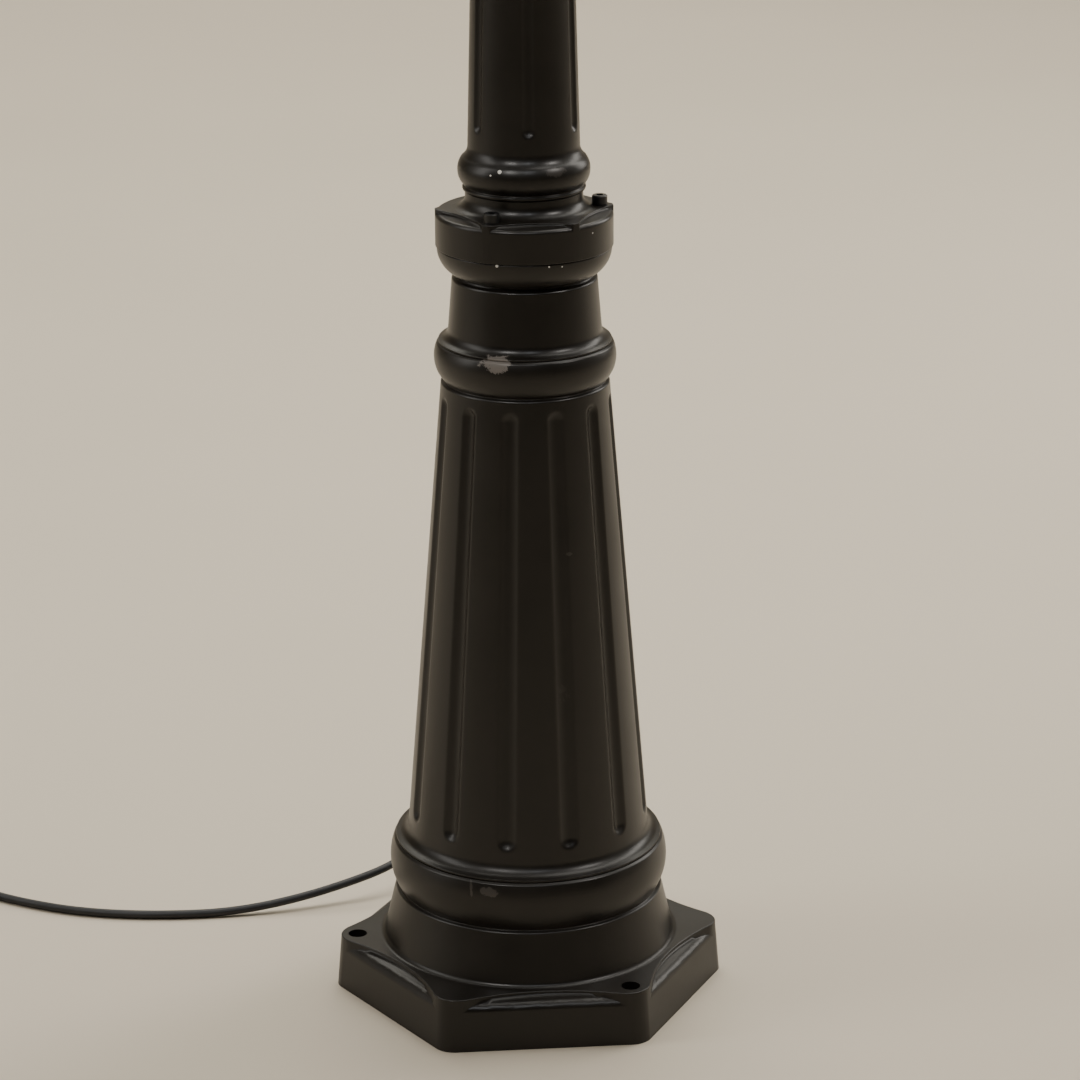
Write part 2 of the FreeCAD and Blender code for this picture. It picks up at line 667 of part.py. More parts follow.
TENON_TOP = "(shaft_top+collar_height+tenon_height)"
SOCKET_LOW = "(shaft_top+collar_height)"
CASE_LOW = f"({TENON_TOP}+socket_neck)"
HEAD = f"({CASE_LOW}+case_radius)"


def case_cutter(name):
    """A cylinder along Y in the case's place, to shape what sits against the case."""
    made = rod(name, "case_radius+fit_gap", "case_half_depth*4")
    made.Placement = Placement(Vector(), Rotation(X_AXIS, 90))
    bind(made, Placement__Base__y="case_half_depth*2", Placement__Base__z=HEAD)
    return made


socket = new_body("socket_solid")
spin(socket, [
    ("tenon_radius+fit_gap", SOCKET_LOW),
    ("collar_radius-3", SOCKET_LOW),
    ("collar_radius-3", f"{SOCKET_LOW}+8", "5"),
    ("socket_waist", f"{SOCKET_LOW}+10"),
    ("socket_waist", f"{TENON_TOP}-6"),
    ("socket_waist+6", f"{TENON_TOP}+2"),
    ("socket_waist+6", f"{TENON_TOP}+12", "6"),
    ("socket_waist+1", f"{TENON_TOP}+14"),
    ("socket_flare", f"{CASE_LOW}-6", "-38"),
    ("socket_flare", f"{CASE_LOW}+8"),
    ("12", f"{CASE_LOW}+8"),
    ("12", f"{TENON_TOP}+4"),
    ("tenon_radius+fit_gap", f"{TENON_TOP}+4"),
])
grub_bores = []
for i in range(3):
    bore = rod(f"grub_bore_{i + 1}", "4+fit_gap/2", "30")
    bore.Placement = Placement(Vector(), Rotation(Z_AXIS, 90 + 120 * i) * Rotation(Vector(0, 1, 0), 90))
    x, y = polar("tenon_radius+fit_gap*0.5", 90 + 120 * i)
    bind(bore, Placement__Base__x=x, Placement__Base__y=y, Placement__Base__z=f"{SOCKET_LOW}+26")
    grub_bores.append(bore)
CASE_SCREWS = [(sx, sy) for sx in (-1, 1) for sy in (-1, 1)]
saddle_holes = [
    rod(f"saddle_hole_{i + 1}", "3+fit_gap/2", "16", (f"{sx}*saddle_screw_x", f"{sy}*saddle_screw_y", f"{CASE_LOW}-14"))
    for i, (sx, sy) in enumerate(CASE_SCREWS)
]
node(less("head_socket", socket, case_cutter("socket_saddle"), *saddle_holes, *grub_bores))

grub = new_body("grub_screw")
spin(grub, [("0", "0"), ("3", "0"), ("4", "1"), ("4", "7"), ("0", "7")])
key = new_sketch(grub, "XY_Plane", lift="7")
outline(key, [(f"2.3*cos({60 * i})", f"2.3*sin({60 * i})") for i in range(6)])
pocket(grub, key, "4")
node(copies("socket_grub_screws", grub, [
    Placement(Vector(number("tenon_radius+fit_gap*0.5") * math.cos(math.radians(90 + 120 * i)),
                     number("tenon_radius+fit_gap*0.5") * math.sin(math.radians(90 + 120 * i)),
                     number(f"{SOCKET_LOW}+26")),
              Rotation(Z_AXIS, 90 + 120 * i) * Rotation(Vector(0, 1, 0), 90))
    for i in range(3)
]))

# Face frame: origin in the middle of the case, X to the viewer's right, Y up, Z out of the dial.
SIDES = (("front", 0), ("rear", 180))


def facing(turn, out=0.0, x=0.0, y=0.0, roll=0.0):
    """Placement of something modelled in the face frame."""
    frame = Placement(Vector(0, 0, number(HEAD)), Rotation(Z_AXIS, turn) * Rotation(X_AXIS, 90))
    return frame.multiply(Placement(Vector(x, y, out), Rotation(Z_AXIS, roll)))


RIM = "case_half_depth"
HINGE_X = "-(bezel_radius+hinge_reach)"
BEZEL_BACK = "(case_half_depth+bezel_gap)"
HINGE_OUT = f"({BEZEL_BACK}+lens_inset)"

case = new_body("case_solid")
inner = "(case_radius-case_wall)"
seat_top = "dial_seat"
seat_low = "(dial_seat-seat_thickness)"
spin(case, [
    (inner, f"-{RIM}"), ("case_radius", f"-{RIM}"), ("case_radius", RIM), (inner, RIM),
    (inner, seat_top), ("seat_bore", seat_top), ("seat_bore", seat_low), (inner, seat_low),
    (inner, f"-{seat_low}"), ("seat_bore", f"-{seat_low}"), ("seat_bore", f"-{seat_top}"),
    (inner, f"-{seat_top}"),
])


def knuckle_lug(name, low, high, side):
    """One case knuckle with the leaf that joins it to the case's wall."""
    barrel_part = rod(name + "_barrel", "knuckle_radius", f"({high})-({low})")
    leaf = block(name + "_leaf", ("knuckle_radius+hinge_reach+10", f"({high})-({low})", "9"),
                 (f"{HINGE_X}-knuckle_radius", low, f"{HINGE_OUT}-knuckle_radius-8.6"))
    riser = block(name + "_riser", ("knuckle_radius*2-1", f"({high})-({low})", "knuckle_radius+2"),
                  (f"{HINGE_X}-knuckle_radius", low, f"{HINGE_OUT}-knuckle_radius-2"))
    barrel_part.Placement = Placement(Vector(), Rotation(X_AXIS, -90))
    bind(barrel_part, Placement__Base__x=HINGE_X, Placement__Base__y=low, Placement__Base__z=HINGE_OUT)
    made = fused(name, barrel_part, leaf, riser)
    made.Placement = Placement(Vector(), Rotation(Vector(0, 1, 0), side))
    return made


def pin_bore(name, radius, side):
    made = rod(name, radius, "(knuckle_half+knuckle_outer+side_gap)*2+2")
    made.Placement = Placement(Vector(), Rotation(Vector(0, 1, 0), side) * Rotation(X_AXIS, -90))
    sign = "" if side == 0 else "-"
    bind(made, Placement__Base__x=f"{sign}1*({HINGE_X})",
         Placement__Base__y="-(knuckle_half+knuckle_outer+side_gap)-1",
         Placement__Base__z=f"{sign}1*{HINGE_OUT}")
    return made


LUG = "(knuckle_half+side_gap)"
EAR_X = "(bezel_radius+hinge_reach)"
case_adds = [case]
case_cuts = []
for side_name, side in SIDES:
    case_adds.append(knuckle_lug(f"{side_name}_upper_lug", LUG, f"{LUG}+knuckle_outer", side))
    case_adds.append(knuckle_lug(f"{side_name}_lower_lug", f"-{LUG}-knuckle_outer", f"-{LUG}", side))
    case_cuts.append(pin_bore(f"{side_name}_case_pin_bore", "pin_radius+fit_gap/10", side))
    ear_low = ("case_radius-2", "-8", f"{RIM}-13")
    hole_low = (EAR_X, "0", f"{RIM}-20")
    if side:
        ear_low = ("-(case_radius-2)-(hinge_reach+14)", "-8", f"-({RIM}-13)-12")
        hole_low = (f"-{EAR_X}", "0", f"-({RIM}-20)-30")
    case_adds.append(block(f"{side_name}_case_ear", ("hinge_reach+14", "16", "12"), ear_low))
    case_cuts.append(rod(f"{side_name}_ear_hole", "3.6", "30", hole_low))


def upright_bore(name, radius, x, y, low, length):
    """A bore along the clock's height, placed in the face frame."""
    made = rod(name, radius, length)
    made.Placement = Placement(Vector(), Rotation(X_AXIS, -90))
    bind(made, Placement__Base__x=f"{x}", Placement__Base__y=low, Placement__Base__z=f"{y}")
    return made


case_cuts.append(upright_bore("lead_bore", "11+fit_gap", 0, 0, "-case_radius-5", "20"))
case_cuts.append(upright_bore("finial_bore", "5+fit_gap", 0, 0, "case_radius-15", "20"))
for i, (sx, sy) in enumerate(CASE_SCREWS):
    case_cuts.append(upright_bore(
        f"case_hole_{i + 1}", "3.3", f"{sx}*saddle_screw_x", f"{-sy}*saddle_screw_y", "-case_radius-5", "20"))
clock_case = less("clock_case", fused("case_with_lugs", *case_adds), *case_cuts)
node(clock_case, facing(0))

case_screw = cap_screw("case_screw", "3", "22", "5", "6", "2.4")
STRAP_FOOT = f"({CASE_LOW}+case_wall+6)"
node(copies("case_screws", case_screw, [
    Placement(Vector(sx * number("saddle_screw_x"), sy * number("saddle_screw_y"), number(STRAP_FOOT)),
              Rotation())
    for sx, sy in CASE_SCREWS
]))

grommet = new_body("case_grommet")
spin(grommet, [
    ("cord_radius+0.3", f"{CASE_LOW}-1"), ("11", f"{CASE_LOW}-1"), ("11", f"{CASE_LOW}+case_wall+0.8"),
    ("15", f"{CASE_LOW}+case_wall+0.8"), ("15", f"{CASE_LOW}+case_wall+3.4"),
    ("cord_radius+0.3", f"{CASE_LOW}+case_wall+3.4"),
])
node(grommet)

# ---------------------------------------------------------------- finial

CASE_TOP = f"({HEAD}+case_radius)"
finial = new_body("finial_solid")
spin(finial, [
    ("0", f"{CASE_TOP}-8"), ("33", f"{CASE_TOP}-8"), ("33", f"{CASE_TOP}+2"),
    ("30", f"{CASE_TOP}+6", "4"), ("15", f"{CASE_TOP}+22", "-19"), ("11", f"{CASE_TOP}+30"),
    ("15", f"{CASE_TOP}+34"), ("15", f"{CASE_TOP}+40", "3.6"), ("10", f"{CASE_TOP}+44"),
    ("10", f"{CASE_TOP}+84", "23"), ("7", f"{CASE_TOP}+90"),
    ("10", f"{CASE_TOP}+94"), ("10", f"{CASE_TOP}+98", "2.2"), ("6", f"{CASE_TOP}+102"),
    ("1.6", f"{CASE_TOP}+finial_height-1.6"), ("0", f"{CASE_TOP}+finial_height", "1.6"),
])
stud_bore = rod("stud_bore", "5+fit_gap/2", "38", ("0", "0", f"{CASE_TOP}-10"))
node(less("finial", finial, case_cutter("finial_saddle"), stud_bore))
stud = rod("finial_stud_rod", "5", "44", ("0", "0", f"{CASE_TOP}-18"))
nut = doc.addObject("Part::Prism", "finial_nut")
nut.Polygon = 6
bind(nut, Circumradius="9.2", Height="8", Placement__Base__z=f"{CASE_TOP}-case_wall-8.2")
node(fused("finial_stud", stud, nut))

# ---------------------------------------------------------------- movement, front and rear alike

PLATE_OUT = "(strap_thickness/2+motor_depth)"
WHEEL_OUT = f"({PLATE_OUT}+2.6)"
SECOND_OUT = f"({WHEEL_OUT}+gear_width+1)"
COVER_OUT = f"({SECOND_OUT}+gear_width+1)"
BUSH_END = "(dial_seat+dial_thickness+3.2)"
HOUR_OUT = f"({BUSH_END}+1.2)"
MINUTE_OUT = f"({HOUR_OUT}+hand_thickness+2.6)"
MODULE = "(wheel_spacing*2/(pinion_teeth+idler_teeth))"
SECOND_MODULE = "(wheel_spacing*2/(idler_pinion_teeth+hour_teeth))"
MOVEMENT_RADIUS = "(wheel_spacing*1.5+gear_width+9)"


def toothed(body, teeth, module, low, phase, centre=("0", "0")):
    """A spur wheel: a disc with a pattern of plain trapezoid teeth."""
    root = f"({module}*{teeth}/2-1.2*{module})"
    tip = f"({module}*{teeth}/2+0.85*{module})"
    pad(body, circle(new_sketch(body, "XY_Plane", lift=low), centre[0], centre[1], root), "gear_width")
    sketch = new_sketch(body, "XY_Plane", lift=low)
    corners = []
    for reach, half in ((f"({root}-0.3)", f"0.72*{module}"), (tip, f"0.3*{module}")):
        for way in ((-1, 1) if reach != tip else (1, -1)):
            x = f"{reach}*cos({phase})-{way}*{half}*sin({phase})"
            y = f"{reach}*sin({phase})+{way}*{half}*cos({phase})"
            corners.append((x, y))
    tooth = pad(body, outline(sketch, corners), "gear_width")
    return around(body, tooth, int(number(teeth)))


def turned(label, corners, bore=None):
    """A piece turned about the face's axis, with an optional bore."""
    body = new_body(label)
    spin(body, corners)
    if bore:
        made = spin(body, [("0", f"{corners[0][1]}-1"), (bore, f"{corners[0][1]}-1"),
                           (bore, f"{corners[-1][1]}+1"), ("0", f"{corners[-1][1]}+1")], kind="Groove")
        body.Tip = made
    return body


def ring(label, inside, outside, low, high):
    """A plain flat ring about the face's axis."""
    body = new_body(label)
    spin(body, [(inside, low), (outside, low), (outside, high), (inside, high)])
    return body


def hand_outline(length, width, kind):
    """Half the outline of a spade hand, mirrored about the hand's length."""
    side = [("3.5", f"-{length}*0.16"), (f"{width}*0.75", f"-{length}*0.13"), ("2.6", f"-{length}*0.07"),
            ("7.5", "0"), ("2.8", f"{length}*0.12")]
    if kind == "hour":
        side += [("3.2", f"{length}*0.52"), (f"{width}*1.6", f"{length}*0.66"), ("3.0", f"{length}*0.84")]
    else:
        side += [("2.6", f"{length}*0.55"), (f"{width}", f"{length}*0.68"), ("2.4", f"{length}*0.84")]
    right = side + [("0", length)]
    left = [(f"-{x}", y) for x, y in reversed(side)]
    return right + left


def hand(label, kind, length, low, bore, width):
    body = new_body(label)
    pad(body, outline(new_sketch(body, "XY_Plane", lift=low), hand_outline(length, width, kind)), "hand_thickness")
    hub = circle(new_sketch(body, "XY_Plane", lift=f"{low}-0.8"), "0", "0", "8")
    pad(body, hub, "hand_thickness+1.6")
    hole = new_sketch(body, "XY_Plane", lift=f"{low}+hand_thickness+0.8")
    circle(hole, "0", "0", bore)
    pocket(body, hole, "hand_thickness+2")
    return body


def case_face(side_name, turn):
    """Everything that one dial needs, each piece in the face frame, then set in its place."""
    place = facing(turn)

    def keep(thing):
        return node(thing, place)

    motor = turned(f"{side_name}_motor", [
        ("0", "strap_thickness/2"), ("motor_radius", "strap_thickness/2"),
        ("motor_radius", f"{PLATE_OUT}-1", ), ("motor_radius-1", PLATE_OUT), ("0", PLATE_OUT),
    ])
    bearing = new_sketch(motor, "XY_Plane", lift=PLATE_OUT)
    circle(bearing, "0", "0", "arbor_radius+run_gap")
    pocket(motor, bearing, "motor_depth*0.6")
    keep(motor)

    plate = new_body(f"{side_name}_movement_plate")
    spin(plate, [("4.5", PLATE_OUT), (MOVEMENT_RADIUS, PLATE_OUT), (MOVEMENT_RADIUS, f"{PLATE_OUT}+2"),
                 ("4.5", f"{PLATE_OUT}+2")])
    post = new_sketch(plate, "XY_Plane", lift=f"{PLATE_OUT}+1")
    circle(post, "0", "wheel_spacing", "1.5")
    pad(plate, post, f"{COVER_OUT}-{PLATE_OUT}-1")
    keep(plate)

    cover = new_body(f"{side_name}_movement_cover")
    spin(cover, [
        (f"{MOVEMENT_RADIUS}-2", f"{PLATE_OUT}+2"), (MOVEMENT_RADIUS, f"{PLATE_OUT}+2"),
        (MOVEMENT_RADIUS, f"{COVER_OUT}+2"), ("7", f"{COVER_OUT}+2"), ("7", "dial_seat-0.2"),
        ("bush_radius", "dial_seat-0.2"), ("bush_radius", BUSH_END), ("pipe_radius+run_gap", BUSH_END),
        ("pipe_radius+run_gap", COVER_OUT), (f"{MOVEMENT_RADIUS}-2", COVER_OUT),
    ])
    keep(cover)

    arbor = new_body(f"{side_name}_minute_arbor")
    spin(arbor, [
        ("0", f"{PLATE_OUT}-motor_depth*0.5"), ("arbor_radius", f"{PLATE_OUT}-motor_depth*0.5"),
        ("arbor_radius", f"{MINUTE_OUT}+hand_thickness+4"), ("0", f"{MINUTE_OUT}+hand_thickness+4"),
    ])
    toothed(arbor, "pinion_teeth", MODULE, WHEEL_OUT, "90")
    keep(arbor)

    idler = new_body(f"{side_name}_minute_wheel")
    toothed(idler, "idler_teeth", MODULE, WHEEL_OUT, "180/idler_teeth-90")
    toothed(idler, "idler_pinion_teeth", SECOND_MODULE, SECOND_OUT, "-90")
    sleeve = circle(new_sketch(idler, "XY_Plane", lift=f"{WHEEL_OUT}+gear_width"), "0", "0", "2.3")
    idler.Tip = pad(idler, sleeve, "1")
    hole = new_sketch(idler, "XY_Plane", lift=f"{SECOND_OUT}+gear_width")
    circle(hole, "0", "0", "1.5+run_gap")
    idler.Tip = pocket(idler, hole, "gear_width*3")
    node(idler, facing(turn, y=number("wheel_spacing")))

    wheel = new_body(f"{side_name}_hour_wheel")
    toothed(wheel, "hour_teeth", SECOND_MODULE, SECOND_OUT, "90+180/hour_teeth")
    pipe = circle(new_sketch(wheel, "XY_Plane", lift=SECOND_OUT), "0", "0", "pipe_radius")
    wheel.Tip = pad(wheel, pipe, f"{HOUR_OUT}+hand_thickness+1.4-{SECOND_OUT}")
    hole = new_sketch(wheel, "XY_Plane", lift=f"{HOUR_OUT}+hand_thickness+2")
    circle(hole, "0", "0", "arbor_radius+run_gap")
    wheel.Tip = pocket(wheel, hole, f"{HOUR_OUT}+hand_thickness+4-{SECOND_OUT}")
    keep(wheel)

    keep(hand(f"{side_name}_hour_hand", "hour", "hour_length", HOUR_OUT, "pipe_radius+fit_gap/10", "9"))
    keep(hand(f"{side_name}_minute_hand", "minute", "minute_length", MINUTE_OUT, "arbor_radius+fit_gap/10", "7"))
    cap = turned(f"{side_name}_hand_nut", [
        ("0", f"{MINUTE_OUT}+hand_thickness+0.8"), ("5", f"{MINUTE_OUT}+hand_thickness+0.8"),
        ("5", f"{MINUTE_OUT}+hand_thickness+3.4"), ("2.9", f"{MINUTE_OUT}+hand_thickness+5", "3"),
        ("0", f"{MINUTE_OUT}+hand_thickness+5"),
    ])
    hole = new_sketch(cap, "XY_Plane", lift=f"{MINUTE_OUT}+hand_thickness+4.1")
    circle(hole, "0", "0", "arbor_radius+fit_gap/10")
    cap.Tip = pocket(cap, hole, "8")
    keep(cap)

    dial = ring(f"{side_name}_dial", "bush_radius+fit_gap", "dial_radius", "dial_seat", "dial_seat+dial_thickness")
    for i in range(6):
        hole = new_sketch(dial, "XY_Plane", lift="dial_seat+dial_thickness")
        x, y = polar("(dial_radius+seat_bore)/2", 60 * i + 30)
        circle(hole, x, y, "2.2")
        dial.Tip = pocket(dial, hole, "dial_thickness+1")
    keep(dial)

    bush_nut = new_body(f"{side_name}_dial_nut")
    pad(bush_nut, outline(new_sketch(bush_nut, "XY_Plane", lift="dial_seat+dial_thickness"),
                          hexagon_corners("bush_radius*1.85")), "2.6")
    hole = new_sketch(bush_nut, "XY_Plane", lift="dial_seat+dial_thickness+2.6")
    circle(hole, "0", "0", "bush_radius+fit_gap/10")
    bush_nut.Tip = pocket(bush_nut, hole, "4")
    keep(bush_nut)


    # the door: bezel with its knuckle and ear, lens, lens seal, clips and captive screw
    lens_out = f"({BEZEL_BACK}+lens_inset)"
    lip_out = f"({lens_out}+lens_thickness+seal_thickness)"
    frame = new_body(f"{side_name}_bezel_ring")
    spin(frame, [
        ("lens_radius+0.8", BEZEL_BACK), ("bezel_radius", BEZEL_BACK),
        ("bezel_radius", f"{BEZEL_BACK}+bezel_depth*0.45"),
        ("bezel_radius-9", f"{BEZEL_BACK}+bezel_depth", "10"),
        ("bezel_radius-14", f"{BEZEL_BACK}+bezel_depth"),
        ("bezel_radius-17", f"{BEZEL_BACK}+bezel_depth-2.5", "-3.5"),
        ("bezel_bore", f"{lip_out}+1.2"), ("bezel_bore", lip_out), ("lens_radius+0.8", lip_out),
    ])
    knuckle = rod(f"{side_name}_bezel_knuckle", "knuckle_radius", "knuckle_half*2")
    knuckle.Placement = Placement(Vector(), Rotation(X_AXIS, -90))
    bind(knuckle, Placement__Base__x=HINGE_X, Placement__Base__y="-knuckle_half", Placement__Base__z=HINGE_OUT)
    web = block(f"{side_name}_bezel_web", ("hinge_reach+4", "knuckle_half*2", "knuckle_radius+1"),
                (HINGE_X, "-knuckle_half", f"{BEZEL_BACK}+0.5"))
    ear = rod(f"{side_name}_bezel_ear", "8", "bezel_depth-3", (EAR_X, "0", BEZEL_BACK))
    arm = block(f"{side_name}_bezel_arm", ("hinge_reach+3", "16", "bezel_depth-4"),
                ("bezel_radius-3", "-8", BEZEL_BACK))
    hinge_bore = rod(f"{side_name}_bezel_pin_bore", "pin_radius+run_gap", "knuckle_half*2+4")
    hinge_bore.Placement = Placement(Vector(), Rotation(X_AXIS, -90))
    bind(hinge_bore, Placement__Base__x=HINGE_X, Placement__Base__y="-knuckle_half-2",
         Placement__Base__z=HINGE_OUT)
    screw_bore = rod(f"{side_name}_door_screw_bore", "3+fit_gap", "40", (EAR_X, "0", f"{BEZEL_BACK}-10"))
    keep(less(f"{side_name}_bezel", fused(f"{side_name}_bezel_solid", frame, knuckle, web, ear, arm),
              hinge_bore, screw_bore))

    keep(turned(f"{side_name}_lens", [
        ("0", lens_out), ("lens_radius", lens_out), ("lens_radius", f"{lens_out}+lens_thickness"),
        ("0", f"{lens_out}+lens_thickness"),
    ]))
    keep(ring(f"{side_name}_lens_seal", "bezel_bore+2", "lens_radius", f"{lens_out}+lens_thickness", lip_out))

    clips = []
    for i in range(6):
        clip = block(f"{side_name}_clip_{i + 1}", ("6.4", "10", "lens_inset-0.8"),
                     ("lens_radius-6", "-5", f"{BEZEL_BACK}+0.8"))
        holder = group(f"{side_name}_clip_turned_{i + 1}", [clip])
        holder.Placement = Placement(Vector(), Rotation(Z_AXIS, 60 * i + 30))
        clips.append(holder)
    keep(group(f"{side_name}_lens_clips", clips))

    door_screw = turned(f"{side_name}_door_screw", [
        ("0", f"{RIM}-3"), ("3", f"{RIM}-3"), ("3", f"{BEZEL_BACK}+bezel_depth-3"),
        ("7", f"{BEZEL_BACK}+bezel_depth-3"), ("7", f"{BEZEL_BACK}+bezel_depth+1"),
        ("0", f"{BEZEL_BACK}+bezel_depth+1"),
    ])
    slot = new_sketch(door_screw, "XY_Plane", lift=f"{BEZEL_BACK}+bezel_depth+1")
    outline(slot, [("-8", "-0.8"), ("8", "-0.8"), ("8", "0.8"), ("-8", "0.8")])
    door_screw.Tip = pocket(door_screw, slot, "1.8")
    node(door_screw, facing(turn, x=number(EAR_X)))


for side_name, turn in SIDES:
    case_face(side_name, turn)

# Pieces that both faces share.
door_seals, light_strips = [], []
for side_name, turn in SIDES:
    door_seal = ring(f"{side_name}_door_seal", "case_radius-case_wall+0.3", "case_radius-0.3",
                     RIM, f"{BEZEL_BACK}-0.3")
    strip = ring(f"{side_name}_light_strip", "case_radius-case_wall-2.6", "case_radius-case_wall-0.2",
                 "dial_seat-seat_thickness-12", "dial_seat-seat_thickness-2")
    for thing, gathered in ((door_seal, door_seals), (strip, light_strips)):
        thing.Placement = facing(turn)
        gathered.append(thing)
node(group("door_seals", door_seals))
node(group("light_strips", light_strips))
dial_screw = turned("dial_screw", [("0", "-9"), ("2", "-9"), ("2", "0"), ("4", "0"), ("4", "1.4"),
                                   ("2.6", "2.4", "3.4"), ("0", "2.4")])
dial_screw_places = []
for side_name, turn in SIDES:
    for i in range(6):
        reach, bearing = number("(dial_radius+seat_bore)/2"), math.radians(60 * i + 30)
        dial_screw_places.append(facing(turn, number("dial_seat+dial_thickness"),
                                        reach * math.cos(bearing), reach * math.sin(bearing)))
# The seat flanges are tapped for the dial screws.
tapped_seats = []
for i, spot in enumerate(dial_screw_places):
    drill = doc.addObject("Part::Cylinder", f"seat_tap_{i + 1}")
    drill.Radius = 2.05
    drill.Height = 20
    drill.Placement = spot.multiply(Placement(Vector(0, 0, -18), Rotation()))
    tapped_seats.append(drill)
NODES.remove(clock_case)
clock_case.Label = "case_before_tapping"
node(less("tapped_case", clock_case, *tapped_seats)).Label = "clock_case"
node(copies("dial_screws", dial_screw, dial_screw_places))

pins = []
for side_name, side in SIDES:
    pin = rod(f"{side_name}_pin", "pin_radius", "(knuckle_half+knuckle_outer+side_gap)*2")
    sign = "" if side == 0 else "-"
    pin.Placement = Placement(Vector(), Rotation(X_AXIS, -90))
    bind(pin, Placement__Base__x=f"{sign}1*({HINGE_X})", Placement__Base__y="-(knuckle_half+knuckle_outer+side_gap)",
         Placement__Base__z=f"{sign}1*{HINGE_OUT}")
    pins.append(pin)
node(group("hinge_pins", pins), facing(0))

# ---------------------------------------------------------------- strap and wiring in the case

strap_length = "(case_radius*2-case_wall)"
strap_blank = fused(
    "strap_blank",
    block("strap_web", ("strap_half_width*2", "strap_thickness", strap_length),
          ("-strap_half_width", "-strap_thickness/2", f"{HEAD}-({strap_length})/2")),
    block("strap_foot", ("strap_half_width*2", "40", "10"),
          ("-strap_half_width", "-20", f"{STRAP_FOOT}-10")),
    block("strap_head", ("strap_half_width*2", "40", "10"),
          ("-strap_half_width", "-20", f"2*{HEAD}-{STRAP_FOOT}")),
)
bounds = rod("strap_bounds", "case_radius-case_wall-fit_gap*2", "60")
bounds.Placement = Placement(Vector(), Rotation(X_AXIS, 90))
bind(bounds, Placement__Base__y="30", Placement__Base__z=HEAD)
trimmed = doc.addObject("Part::Common", "strap_trimmed")
trimmed.Base = strap_blank
trimmed.Tool = bounds
lead_slot = block("strap_lead_slot", ("36", "60", "76"), ("-18", "-30", f"{CASE_LOW}+2"))
nut_slot = block("strap_nut_slot", ("24", "60", "36"), ("-12", "-30", f"{CASE_TOP}-38"))
screw_holes = [
    rod(f"strap_screw_hole_{i + 1}", "3.3", "30", (f"{sx}*saddle_screw_x", f"{sy}*saddle_screw_y", f"{CASE_LOW}-4"))
    for i, (sx, sy) in enumerate(CASE_SCREWS)
]
node(less("movement_strap", trimmed, lead_slot, nut_slot, *screw_holes))

terminal = block("terminal_body", ("32", "16", "22"), ("-16", "strap_thickness/2", f"{CASE_LOW}+84"))
terminal_bores = [
    rod(f"terminal_bore_{i + 1}", "2.4", "30", (f"{10 * (i - 1)}", "strap_thickness/2+11", f"{CASE_LOW}+90"))
    for i in range(3)
]
node(less("terminal_block", terminal, *terminal_bores))
node(block("light_driver", ("52", "20", "74"), ("-26", "strap_thickness/2", f"{HEAD}+60")))

# ---------------------------------------------------------------- mains lead and its fittings

GLAND_SEAT = "gland_seat"


def along_y(thing, start):
    """Lay a piece that was made along Z along +Y, starting at the gland's seat."""
    thing.Placement = Placement(Vector(0, number(start), number("gland_height")), Rotation(X_AXIS, -90))
    return thing


gland = turned("cable_gland", [
    ("0", "-16"), ("gland_thread", "-16"), ("gland_thread", "0"), ("gland_hex", "0"), ("gland_hex", "9"),
    ("gland_thread+0.5", "9"), ("gland_thread+0.5", "15"), ("0", "15"),
], bore="cord_radius+1.4")
node(along_y(gland, GLAND_SEAT))
locknut = new_body("gland_locknut")
pad(locknut, outline(new_sketch(locknut, "XY_Plane"), hexagon_corners("gland_hex/cos(30)")), "4")
hole = new_sketch(locknut, "XY_Plane", lift="4")
circle(hole, "0", "0", "gland_thread+fit_gap/10")
locknut.Tip = pocket(locknut, hole, "6")
node(along_y(locknut, "drum_top_radius-casting_wall-5"))
dome = turned("gland_dome_nut", [
    ("gland_thread+0.6", "9.4"), ("gland_hex", "9.4"), ("gland_hex", "16"), ("gland_hex-3", "21", "6"),
    ("cord_radius+2", "21"), ("cord_radius+2", "16"), ("gland_thread+0.6", "16"),
])
node(along_y(dome, GLAND_SEAT))
seal = turned("gland_seal", [
    ("cord_radius+fit_gap", "6"), ("cord_radius+1.3", "6"), ("cord_radius+1.3", "15.2"),
    ("cord_radius+1.9", "15.2"), ("cord_radius+1.9", "20"), ("cord_radius+fit_gap", "20"),
])
node(along_y(seal, GLAND_SEAT))
guard = turned("lead_bend_guard", [
    ("cord_radius+fit_gap", "20"), ("cord_radius+1.9", "20"), ("cord_radius+1.9", "22"),
    ("cord_radius+3", "22"), ("cord_radius+2.6", "26"), ("cord_radius+0.9", "22+guard_length"),
    ("cord_radius+fit_gap", "22+guard_length"),
])
node(along_y(guard, GLAND_SEAT))


def rounded_path(points):
    """Straight runs joined by tangent arcs as large as the runs allow."""
    spots = [Vector(*p) for p in points]
    edges, radii = [], []
    start = spots[0]
    for before, corner, after in zip(spots, spots[1:], spots[2:]):
        coming, going = corner - before, after - corner
        turn = coming.getAngle(going)
        shorter = min(coming.Length, going.Length)
        radius = 0.45 * shorter / math.tan(turn / 2)
        coming.normalize()
        going.normalize()
        enter, leave = corner - coming * 0.45 * shorter, corner + going * 0.45 * shorter
        middle_way = (going - coming).normalize()
        centre = corner + middle_way * (radius / math.cos(turn / 2))
        edges.append(Part.LineSegment(start, enter).toShape())
        edges.append(Part.Arc(enter, centre - middle_way * radius, leave).toShape())
        radii.append(radius)
        start = leave
    edges.append(Part.LineSegment(start, spots[-1]).toShape())
    return Part.Wire(edges), radii


